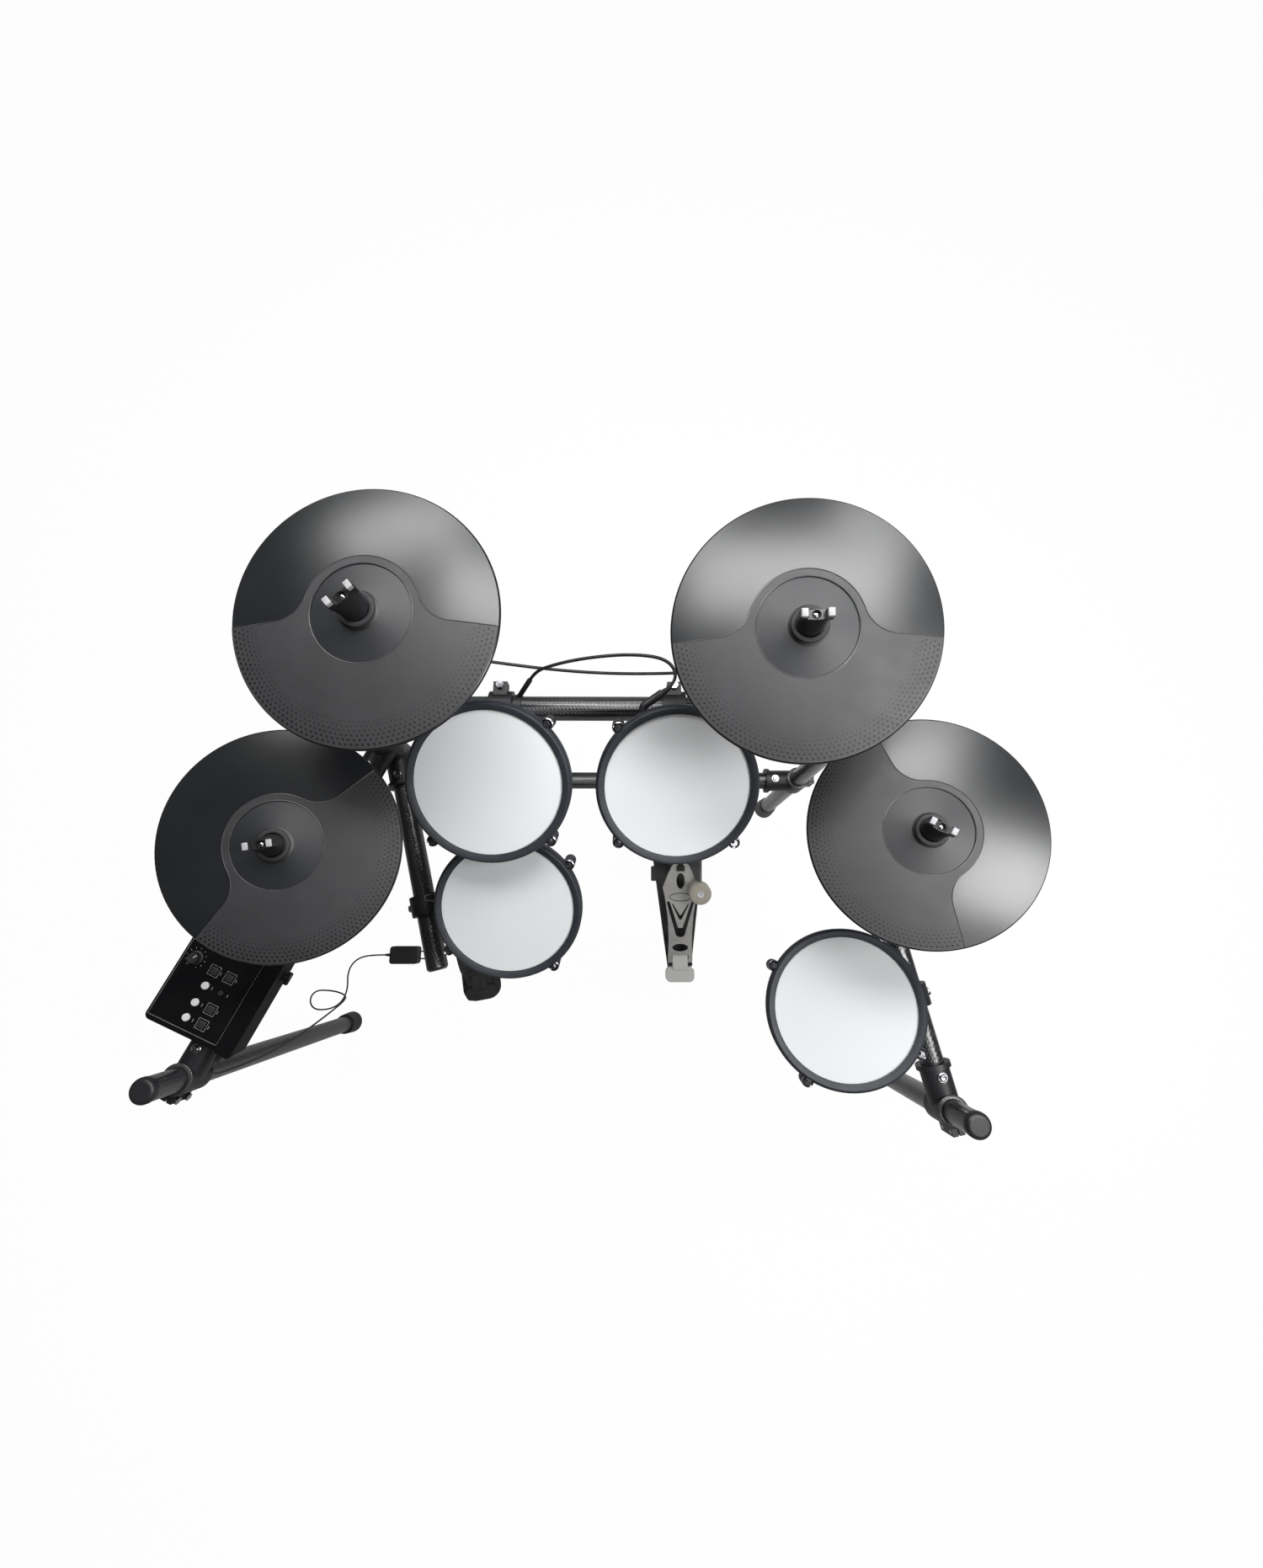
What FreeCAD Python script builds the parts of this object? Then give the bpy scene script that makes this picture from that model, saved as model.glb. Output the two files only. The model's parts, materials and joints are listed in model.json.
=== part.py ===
import FreeCAD
import Part
import Sketcher
import math
import os
import re

Vector = FreeCAD.Vector
Rotation = FreeCAD.Rotation
Placement = FreeCAD.Placement
ACROSS = Vector(1, 0, 0)
ALONG = Vector(0, 1, 0)
UP = Vector(0, 0, 1)

# Driving dimensions in millimetres and degrees. The origin is on the floor under the
# middle of the kit, +X to the drummer's right and +Y away from the drummer.
SIZES = {
    # fits
    "running_gap": 0.3,
    "bond_gap": 0.1,
    # rack tubes
    "tube_radius": 19.0,
    "tube_wall": 2.0,
    "rack_x": 74.5,
    "rear_y": 255.0,
    "rear_span": 841.0,
    "rear_post_top": 880.0,
    "front_post_top": 738.0,
    "upper_bar_z": 838.0,
    "lower_bar_z": 350.0,
    "wing_bar_z": 645.0,
    "wing_length": 640.0,
    "left_wing_turn": 25.9,
    "right_wing_turn": 12.3,
    "snare_arm_z": 588.0,
    "snare_arm_length": 412.0,
    "snare_arm_turn": 14.7,
    # moulded tee clamps, end caps and feet
    "collar_wall": 6.0,
    "collar_height": 52.0,
    "sleeve_reach": 72.0,
    "sleeve_wall": 5.0,
    "flange_wall": 9.0,
    "flange_width": 8.0,
    "tee_seat": 27.0,
    "ear_reach": 13.0,
    "ear_width": 20.0,
    "bolt_radius": 3.0,
    "bolt_head_radius": 6.5,
    "bolt_head_height": 5.0,
    "cap_height": 12.0,
    "cap_round": 7.0,
    "cap_lip": 1.0,
    "plug_depth": 24.0,
    "foot_floor": 8.0,
    "foot_height": 46.0,
    "foot_wall": 5.0,
    # hanger clamps that hold a rod beside a tube
    "hanger_wall": 8.0,
    "hanger_width": 36.0,
    "hanger_height": 48.0,
    "hanger_reach": 34.0,
    # pads
    "shell_depth": 42.0,
    "shell_top_radius": 110.0,
    "shell_bottom_radius": 93.0,
    "shell_wall": 4.0,
    "shell_floor": 3.0,
    "head_radius": 107.5,
    "head_thickness": 1.5,
    "hoop_radius": 118.0,
    "hoop_inner_radius": 105.0,
    "hoop_skirt": 14.0,
    "hoop_rise": 6.0,
    "hoop_round": 9.0,
    "lug_circle": 120.5,
    "lug_radius": 9.0,
    "lug_height": 20.0,
    "lug_web": 13.0,
    "ear_height": 8.0,
    "tension_radius": 2.8,
    "tension_head_radius": 5.0,
    "tension_head_height": 6.0,
    "tension_square": 5.0,
    "sensor_base_radius": 15.0,
    "sensor_tip_radius": 7.0,
    "boss_length": 60.0,
    "boss_width": 30.0,
    "boss_height": 26.0,
    "rod_radius": 6.0,
    "rod_bend": 20.0,
    "rod_depth": 48.0,
    "bracket_width": 36.0,
    "bracket_thickness": 18.0,
    # where each pad stands: centre of its head and its lean towards the drummer or to the right
    "tom_1_x": -93.0,
    "tom_1_y": 117.0,
    "tom_1_z": 908.0,
    "tom_1_front": 26.1,
    "tom_2_x": 176.0,
    "tom_2_y": 116.0,
    "tom_2_z": 895.0,
    "tom_2_front": 26.7,
    "snare_x": -86.0,
    "snare_y": -51.0,
    "snare_z": 755.0,
    "snare_front": 21.7,
    "snare_lugs": 36.0,
    "floor_tom_x": 434.0,
    "floor_tom_y": -200.0,
    "floor_tom_z": 777.0,
    "floor_tom_side": -6.9,
    "floor_tom_lugs": 59.0,
    "tom_lugs": 45.0,
    # cymbals
    "cymbal_radius": 152.5,
    "cymbal_wall": 4.5,
    "edge_drop": 2.5,
    "bow_rise": 13.0,
    "bell_radius": 57.0,
    "bow_arc": 700.0,
    "grommet_radius": 23.0,
    "hole_radius": 9.5,
    "rock_radius": 45.0,
    "rock_depth": 19.0,
    "grommet_wall": 6.0,
    "rubber_wall": 1.4,
    "rim_inset": 2.0,
    "rim_round": 4.0,
    "rubber_half_turn": 85.0,
    "collar_radius": 66.0,
    "zone_fillet": 40.0,
    "jack_box_length": 42.0,
    "jack_box_width": 28.0,
    "jack_box_height": 14.0,
    "jack_box_place": 84.0,
    "boom_radius": 8.0,
    "boom_bend": 26.0,
    "boom_insert": 90.0,
    "stop_height": 16.0,
    "stop_wall": 6.0,
    "stem_radius": 4.5,
    "stem_top": 57.0,
    "stem_drop": 75.0,
    "seat_radius": 18.0,
    "nut_radius": 15.5,
    "nut_height": 36.0,
    "nut_bore": 5.0,
    "blade_length": 17.5,
    "blade_thickness": 5.5,
    "tip_length": 8.0,
    "tip_height": 9.0,
    # where each cymbal stands: centre of its edge and its leans
    "crash_left_x": -190.0,
    "crash_left_y": 258.0,
    "crash_left_z": 1129.0,
    "crash_left_front": 6.9,
    "crash_left_side": -1.7,
    "crash_left_knee": 940.0,
    "crash_right_x": 305.0,
    "crash_right_y": 246.0,
    "crash_right_z": 1124.0,
    "crash_right_front": 11.0,
    "crash_right_side": -4.6,
    "crash_right_knee": 940.0,
    "hihat_x": -346.0,
    "hihat_y": 23.0,
    "hihat_z": 959.0,
    "hihat_front": 6.9,
    "hihat_side": 6.3,
    "hihat_knee": 780.0,
    "hihat_zone": 47.0,
    "hihat_nut": 10.0,
    "ride_x": 495.0,
    "ride_y": 41.0,
    "ride_z": 962.0,
    "ride_front": 2.9,
    "ride_side": -7.5,
    "ride_knee": 780.0,
    "ride_zone": -72.0,
    "ride_nut": -30.0,
    "crash_left_nut": 40.0,
    "crash_right_nut": 0.0,
    # kick pedal, beater and tower
    "kick_x": 245.0,
    "heel_y": -219.0,
    "kick_hinge_y": -170.0,
    "kick_hinge_z": 26.0,
    "board_length": 270.0,
    "board_rise": 16.0,
    "board_thickness": 6.0,
    "board_heel_width": 66.0,
    "board_width": 94.0,
    "board_toe_width": 52.0,
    "board_widest": 205.0,
    "board_bulge": 420.0,
    "board_waist": 640.0,
    "notch_depth": 24.0,
    "notch_gap": 2.0,
    "pin_radius": 4.0,
    "knuckle_radius": 8.0,
    "knuckle_length": 40.0,
    "lug_length": 12.0,
    "base_thickness": 5.0,
    "base_width": 54.0,
    "spur_width": 18.0,
    "spur_length": 40.0,
    "spur_height": 18.0,
    "spur_place": 86.0,
    "heel_width": 76.0,
    "heel_corner": 14.0,
    "axle_y": 156.0,
    "axle_z": 151.0,
    "axle_radius": 6.0,
    "axle_overhang": 4.0,
    "upright_gap": 122.0,
    "upright_width": 14.0,
    "upright_depth": 30.0,
    "cross_overhang": 10.0,
    "sprocket_radius": 21.0,
    "sprocket_width": 14.0,
    "hub_offset": 48.0,
    "hub_width": 20.0,
    "hub_radius": 13.0,
    "beater_length": 150.0,
    "beater_drop": 15.0,
    "beater_rod_radius": 5.0,
    "felt_radius": 29.0,
    "felt_length": 45.0,
    "felt_round": 6.0,
    "spring_drum_radius": 15.0,
    "spring_drum_length": 34.0,
    "strap_width": 12.0,
    "strap_thickness": 2.5,
    "strap_anchor": 258.0,
    "strap_clamp_depth": 14.0,
    "toe_oval_place": 223.0,
    "toe_oval_length": 42.0,
    "toe_oval_width": 22.0,
    "ring_oval_place": 180.0,
    "ring_oval_length": 23.0,
    "ring_oval_width": 59.0,
    "ring_line": 2.0,
    "ring_depth": 1.2,
    "heel_oval_place": 44.0,
    "heel_oval_length": 20.0,
    "heel_oval_width": 42.0,
    "vee_top": 168.0,
    "vee_reach": 37.0,
    "vee_arm": 8.0,
    "vee_low": 79.0,
    "vee_foot": 12.0,
    "vee_round": 14.0,
    "vee_inner_low": 97.0,
    "small_vee_top": 162.0,
    "small_vee_reach": 23.0,
    "small_vee_arm": 3.0,
    "small_vee_low": 121.5,
    "small_vee_foot": 4.0,
    "small_vee_round": 5.0,
    "small_vee_inner_low": 132.0,
    "plate_corner": 6.0,
    "pad_face_y": 184.0,
    "pad_z": 300.0,
    "pad_radius": 102.0,
    "pad_thickness": 28.0,
    "pad_round": 9.0,
    "tower_plate": 6.0,
    "tower_plate_radius": 96.0,
    "tower_post_width": 60.0,
    "tower_post_depth": 12.0,
    "tower_base_length": 130.0,
    "tower_base_width": 260.0,
    "tower_base_corner": 25.0,
    # hi-hat control pedal
    "hat_pedal_x": -279.0,
    "hat_pedal_y": -265.0,
    "hat_pedal_turn": 10.0,
    "hat_pedal_length": 270.0,
    "hat_pedal_width": 100.0,
    "hat_corner": 34.0,
    "hat_base_height": 8.0,
    "hat_board_length": 224.0,
    "hat_board_width": 88.0,
    "hat_board_toe_width": 74.0,
    "hat_board_widest": 40.0,
    "hat_board_thickness": 8.0,
    "hat_board_rise": 12.0,
    "hat_hinge_inset": 46.0,
    "hat_sensor_length": 56.0,
    "hat_sensor_width": 30.0,
    "hat_sensor_height": 30.0,
    "hat_sensor_place": 226.0,
    # sound module
    "module_along": 445.0,
    "module_length": 230.0,
    "module_width": 152.0,
    "module_height": 38.0,
    "module_corner": 9.0,
    "module_lean": 7.0,
    "module_top_z": 717.0,
    "module_shift": 2.0,
    "module_clamp_width": 56.0,
    "ridge_width": 26.0,
    "ridge_height": 9.0,
    "ridge_round": 6.0,
    "screen_length": 60.0,
    "screen_width": 30.0,
    "screen_depth": 1.5,
    "screen_x": -14.0,
    "screen_y": 52.0,
    "knob_x": -54.0,
    "knob_y": -5.0,
    "knob_radius": 11.0,
    "knob_top_radius": 9.5,
    "knob_height": 13.0,
    "key_column_1": -18.0,
    "key_column_2": 9.0,
    "key_row_1": -11.0,
    "key_row_2": -36.0,
    "key_row_3": -64.0,
    "key_row_4": -89.0,
    "button_radius": 6.0,
    "key_size": 12.0,
    "small_button_radius": 4.0,
    "button_rise": 2.5,
    "button_depth": 4.0,
    "button_travel": 1.5,
    "dc_socket_x": 50.0,
    "dc_socket_z": -26.0,
    "dc_plug_length": 20.0,
    "dc_plug_radius": 4.5,
    # power adapter
    "adapter_x": -493.0,
    "adapter_y": -149.0,
    "adapter_length": 74.0,
    "adapter_width": 46.0,
    "adapter_height": 32.0,
    "adapter_corner": 8.0,
    "adapter_pin_radius": 2.0,
    "adapter_pin_length": 18.0,
    "adapter_pin_gap": 19.0,
    # leads
    "signal_lead_radius": 2.5,
    "power_lead_radius": 2.0,
    "jack_turn": 115.0,
    "jack_head_length": 28.0,
    "jack_barrel_length": 36.0,
    "jack_radius": 6.0,
    "jack_bend": 8.0,
    "clip_wall": 3.0,
    "clip_width": 10.0,
    "clip_post_radius": 4.0,
}

doc = FreeCAD.newDocument("drum_kit")
sheet = doc.addObject("Spreadsheet::Sheet", "Sizes")
for row, (alias, number) in enumerate(SIZES.items(), 1):
    sheet.set("A%d" % row, alias)
    sheet.set("B%d" % row, str(number))
    sheet.setAlias("B%d" % row, alias)
doc.recompute()
nodes = []


def value(text):
    return float(sheet.evalExpression(text))


def bound(text):
    return re.sub(r"[a-z][a-z0-9_]*", lambda m: "Sizes." + m[0] if m[0] in SIZES else m[0], text)


def at(x=0.0, y=0.0, z=0.0):
    return Placement(Vector(x, y, z), Rotation())


def turned(axis, degrees, place=None):
    return Placement(place or Vector(), Rotation(axis, degrees))


def pointing(start, direction):
    return Placement(start, Rotation(UP, direction))


def piece(kind, name, place=None, **sizes):
    thing = doc.addObject("Part::" + kind, name)
    for prop, text in sizes.items():
        thing.setExpression(prop, bound(text))
    thing.Placement = place or Placement()
    return thing


def centred_box(name, length, width, height, place=None):
    corner = at(-value(length) / 2, -value(width) / 2, 0)
    return piece("Box", name, (place or Placement()) * corner, Length=length, Width=width, Height=height)


def fused(name, *pieces):
    result = doc.addObject("Part::MultiFuse", name)
    result.Shapes = list(pieces)
    return result


def cut(name, base, *tools):
    result = doc.addObject("Part::Cut", name)
    result.Base = base
    result.Tool = tools[0] if len(tools) == 1 else fused(name + "_tools", *tools)
    return result


def common(name, first, second):
    result = doc.addObject("Part::Common", name)
    result.Base = first
    result.Tool = second
    return result


def formed(name, shape, place=None):
    feature = doc.addObject("Part::Feature", name)
    feature.Shape = shape
    feature.Placement = place or Placement()
    return feature


def node(label, *pieces):
    if len(pieces) == 1:
        thing = pieces[0]
    else:
        thing = doc.addObject("Part::Compound", label + "_group")
        thing.Links = list(pieces)
    thing.Label = label
    nodes.append(thing)
    return thing


def arc_between(start, end, radius):
    middle = (start + end) / 2
    half = (end - start) / 2
    side = Vector(-half.y, half.x, 0).normalize()
    sagitta = abs(radius) - math.sqrt(radius * radius - half.Length ** 2)
    return Part.Arc(start, middle - side * math.copysign(sagitta, radius), end)


# A closed outline in a body's own plane. Each corner is held by two bound distances, and a
# stretch named in arcs bulges with its own radius, to the right of travel where it is positive.
def outline(body, plane, corners, arcs=None):
    arcs = arcs or {}
    sketch = body.newObject("Sketcher::SketchObject", body.Name + "_outline")
    support = [f for f in body.Origin.OriginFeatures if f.Role == plane][0]
    sketch.AttachmentSupport = [(support, "")]
    sketch.MapMode = "FlatFace"
    spots = [Vector(value(x), value(y), 0) for x, y in corners]
    count = len(spots)
    for i, spot in enumerate(spots):
        after = spots[(i + 1) % count]
        if i in arcs:
            sketch.addGeometry(arc_between(spot, after, value(arcs[i])), False)
        else:
            sketch.addGeometry(Part.LineSegment(spot, after), False)
    starts = [1 if sketch.getPoint(i, 1).isEqual(spot, 1e-6) else 2 for i, spot in enumerate(spots)]
    for i in range(count):
        after = (i + 1) % count
        sketch.addConstraint(Sketcher.Constraint("Coincident", i, 3 - starts[i], after, starts[after]))
    for i, spot in enumerate(spots):
        for kind, text, number in zip(("DistanceX", "DistanceY"), corners[i], spot):
            index = sketch.addConstraint(Sketcher.Constraint(kind, -1, 1, i, starts[i], number))
            sketch.setExpression("Constraints[%d]" % index, bound(text))
    for i, text in arcs.items():
        index = sketch.addConstraint(Sketcher.Constraint("Radius", i, abs(value(text))))
        sketch.setExpression("Constraints[%d]" % index, bound("abs(%s)" % text))
    return sketch


def lathe(name, corners, arcs=None, place=None):
    body = doc.addObject("PartDesign::Body", name)
    profile = outline(body, "XZ_Plane", corners, arcs)
    spin = body.newObject("PartDesign::Revolution", name + "_spin")
    spin.Profile = profile
    spin.ReferenceAxis = (profile, ["V_Axis"])
    spin.Angle = 360
    body.Placement = place or Placement()
    return body


def plate(name, corners, thickness, arcs=None, place=None):
    body = doc.addObject("PartDesign::Body", name)
    profile = outline(body, "XY_Plane", corners, arcs)
    pad = body.newObject("PartDesign::Pad", name + "_pad")
    pad.Profile = profile
    pad.setExpression("Length", bound(thickness))
    body.Placement = place or Placement()
    return body


def rounded_plate(name, length, width, corner, thickness, place=None):
    x, y, r = "(%s)/2" % length, "(%s)/2" % width, corner
    corners = [
        ("%s - %s" % (x, r), "-" + y), (x, "%s - %s" % (r, y)),
        (x, "%s - %s" % (y, r)), ("%s - %s" % (x, r), y),
        ("%s - %s" % (r, x), y), ("-" + x, "%s - %s" % (y, r)),
        ("-" + x, "%s - %s" % (r, y)), ("%s - %s" % (r, x), "-" + y),
    ]
    return plate(name, corners, thickness, {0: r, 2: r, 4: r, 6: r}, place)


# A path of straight runs with a tangent arc at each inner corner.
def bent_wire(points, radius_at):
    edges = []
    start = points[0]
    for i in range(1, len(points) - 1):
        inward = (points[i] - points[i - 1]).normalize()
        onward = (points[i + 1] - points[i]).normalize()
        half = inward.getAngle(onward) / 2
        reach = radius_at(i, half) * math.tan(half)
        enter = points[i] - inward * reach
        leave = points[i] + onward * reach
        bisector = (onward - inward).normalize()
        middle = points[i] + bisector * (radius_at(i, half) / math.cos(half) - radius_at(i, half))
        edges.append(Part.LineSegment(start, enter).toShape())
        edges.append(Part.Arc(enter, middle, leave).toShape())
        start = leave
    edges.append(Part.LineSegment(start, points[-1]).toShape())
    return Part.Wire(edges)


def pipe_along(wire, radius):
    first = wire.Edges[0]
    ring = Part.Circle(first.Vertexes[0].Point, first.tangentAt(first.FirstParameter), radius)
    return wire.makePipeShell([Part.Wire(ring.toShape())], True, False)


def bent_rod(name, points, radius, bend):
    return formed(name, pipe_along(bent_wire(points, lambda i, half: value(bend)), value(radius)))


# Plan of the rack
REAR = {
    "left": Vector(value("rack_x - rear_span/2"), value("rear_y"), 0),
    "right": Vector(value("rack_x + rear_span/2"), value("rear_y"), 0),
}


def wing_direction(alias, side):
    turn = math.radians(value(alias))
    return Vector(side * math.sin(turn), -math.cos(turn), 0)


WING = {
    "left": wing_direction("left_wing_turn", -1),
    "right": wing_direction("right_wing_turn", 1),
}
SNARE_ARM = wing_direction("snare_arm_turn", 1)
FRONT = {side: REAR[side] + WING[side] * value("wing_length") for side in REAR}


def tube(name, length, place):
    body = doc.addObject("PartDesign::Body", name)
    sketch = body.newObject("Sketcher::SketchObject", name + "_ring")
    support = [f for f in body.Origin.OriginFeatures if f.Role == "XY_Plane"][0]
    sketch.AttachmentSupport = [(support, "")]
    sketch.MapMode = "FlatFace"
    for text in ("tube_radius", "tube_radius - tube_wall"):
        ring = sketch.addGeometry(Part.Circle(Vector(), UP, value(text)), False)
        sketch.addConstraint(Sketcher.Constraint("Coincident", ring, 3, -1, 1))
        index = sketch.addConstraint(Sketcher.Constraint("Radius", ring, value(text)))
        sketch.setExpression("Constraints[%d]" % index, bound(text))
    pad = body.newObject("PartDesign::Pad", name + "_pad")
    pad.Profile = sketch
    pad.setExpression("Length", bound(length))
    body.Placement = place
    return body


def post(name, spot, top):
    return tube(name, "%s - foot_floor" % top, at(spot.x, spot.y, value("foot_floor")))


def bar(name, start, direction, height, length):
    first = start + direction * value("tee_seat + bond_gap") + UP * value(height)
    return tube(name, length, pointing(first, direction))


# A moulded tee: a collar round a post, a flanged sleeve that takes the bar and two bolted ears.
def tee(name, spot, direction, height, gap):
    place = Placement(spot + UP * value(height), Rotation(ACROSS, direction))
    half = value("collar_height / 2")
    outward = turned(ALONG, 90)
    collar = piece("Cylinder", name + "_collar", place * at(0, 0, -half),
                   Radius="tube_radius + collar_wall", Height="collar_height")
    sleeve = piece("Cylinder", name + "_sleeve", place * outward,
                   Radius="tube_radius + sleeve_wall", Height="sleeve_reach")
    flange = piece("Cylinder", name + "_flange",
                   place * at(value("sleeve_reach - flange_width")) * outward,
                   Radius="tube_radius + flange_wall", Height="flange_width")
    ear_place = place * at(-value("tube_radius + collar_wall + ear_reach/2 - 2"), 0, -half * 0.8)
    ear = centred_box(name + "_ear", "ear_reach + 4", "ear_width", "0.8*collar_height", ear_place)
    post_bore = piece("Cylinder", name + "_post_bore", place * at(0, 0, -half - 1),
                      Radius="tube_radius + " + gap, Height="collar_height + 2")
    bar_bore = piece("Cylinder", name + "_bar_bore", place * at(value("tee_seat")) * outward,
                     Radius="tube_radius + bond_gap", Height="sleeve_reach")
    slit = centred_box(name + "_slit", "4*ear_reach", "ear_width / 8", "collar_height + 2",
                       place * at(-value("tube_radius + 2*ear_reach"), 0, -half - 1))
    bolt_spots = [place * at(-value("tube_radius + collar_wall + ear_reach/2"), -value("ear_width/2"), z)
                  for z in (-half / 2, half / 2)]
    aside = turned(ACROSS, -90)
    bolt_holes = [piece("Cylinder", name + "_bolt_hole_%d" % i, spot * aside,
                        Radius="bolt_radius + bond_gap", Height="ear_width")
                  for i, spot in enumerate(bolt_spots)]
    moulding = cut(name, fused(name + "_body", collar, sleeve, flange, ear),
                   post_bore, bar_bore, slit, *bolt_holes)
    bolts = [bolt(name + "_bolt_%d" % i, spot * aside, "ear_width") for i, spot in enumerate(bolt_spots)]
    return [moulding] + bolts


# A hexagon screw whose head sits on the face at the given place, its shank along local +Z.
def bolt(name, place, length):
    shank = piece("Cylinder", name + "_shank", place, Radius="bolt_radius", Height=length)
    head = piece("Prism", name + "_head", place * at(0, 0, -value("bolt_head_height")),
                 Circumradius="bolt_head_radius", Height="bolt_head_height")
    head.Polygon = 6
    return fused(name, shank, head)


def end_cap(name, place, bore="0", lip="cap_lip"):
    inner = "tube_radius - tube_wall - bond_gap"
    rim = "tube_radius + " + lip
    corners = [
        (bore, "-plug_depth"), (inner, "-plug_depth"), (inner, "0"), (rim, "0"),
        (rim, "cap_height - cap_round"), (rim + " - cap_round", "cap_height"), (bore, "cap_height"),
    ]
    return lathe(name, corners, {4: "cap_round"}, place)


def foot(name, spot):
    outer = "tube_radius + foot_wall"
    inner = "tube_radius + bond_gap"
    corners = [
        ("0", "0"), (outer + " + 2", "0"), (outer + " + 2", "foot_floor"), (outer, "foot_height"),
        (inner, "foot_height"), (inner, "foot_floor"), ("0", "foot_floor"),
    ]
    return lathe(name, corners, None, at(spot.x, spot.y, 0))


# A ring on a tube with an upright socket beside it for a rod.
def hanger(name, spot, direction, sideways, rod, gap):
    tube_place = Placement(spot - direction * value("hanger_width/2"), Rotation(UP, direction))
    half = value("hanger_height / 2")
    socket_spot = spot + sideways * value("hanger_reach") - UP * half
    ring = piece("Cylinder", name + "_ring", tube_place, Radius="tube_radius + hanger_wall",
                 Height="hanger_width")
    socket = piece("Cylinder", name + "_socket", at(*socket_spot),
                   Radius=rod + " + hanger_wall - 1", Height="hanger_height")
    tube_bore = piece("Cylinder", name + "_tube_bore", tube_place * at(0, 0, -1),
                      Radius="tube_radius + bond_gap", Height="hanger_width + 2")
    rod_bore = piece("Cylinder", name + "_rod_bore", at(*socket_spot) * at(0, 0, -1),
                     Radius=rod + " + " + gap, Height="hanger_height + 2")
    moulding = cut(name, fused(name + "_body", ring, socket), tube_bore, rod_bore)
    screw_place = pointing(spot - sideways * value("tube_radius + hanger_wall - 1"), sideways)
    screw = bolt(name + "_bolt", screw_place, "hanger_wall - 2")
    hole = piece("Cylinder", name + "_bolt_hole", screw_place * at(0, 0, -value("bolt_head_height") - 1),
                 Radius="bolt_head_radius + 1", Height="bolt_head_height + hanger_wall")
    return [cut(name + "_drilled", moulding, hole), screw]


def along_wing(start, direction, sideways, height, target_y):
    run = (target_y - start.y - sideways.y * value("hanger_reach")) / direction.y
    return start + direction * run + UP * value(height)


def leaning(name, front=0.0, side=0.0):
    normal = Vector(math.sin(math.radians(side)), -math.sin(math.radians(front)), 0)
    normal.z = math.sqrt(1 - normal.x ** 2 - normal.y ** 2)
    return Placement(Vector(value(name + "_x"), value(name + "_y"), value(name + "_z")),
                     Rotation(UP, normal))


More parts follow.
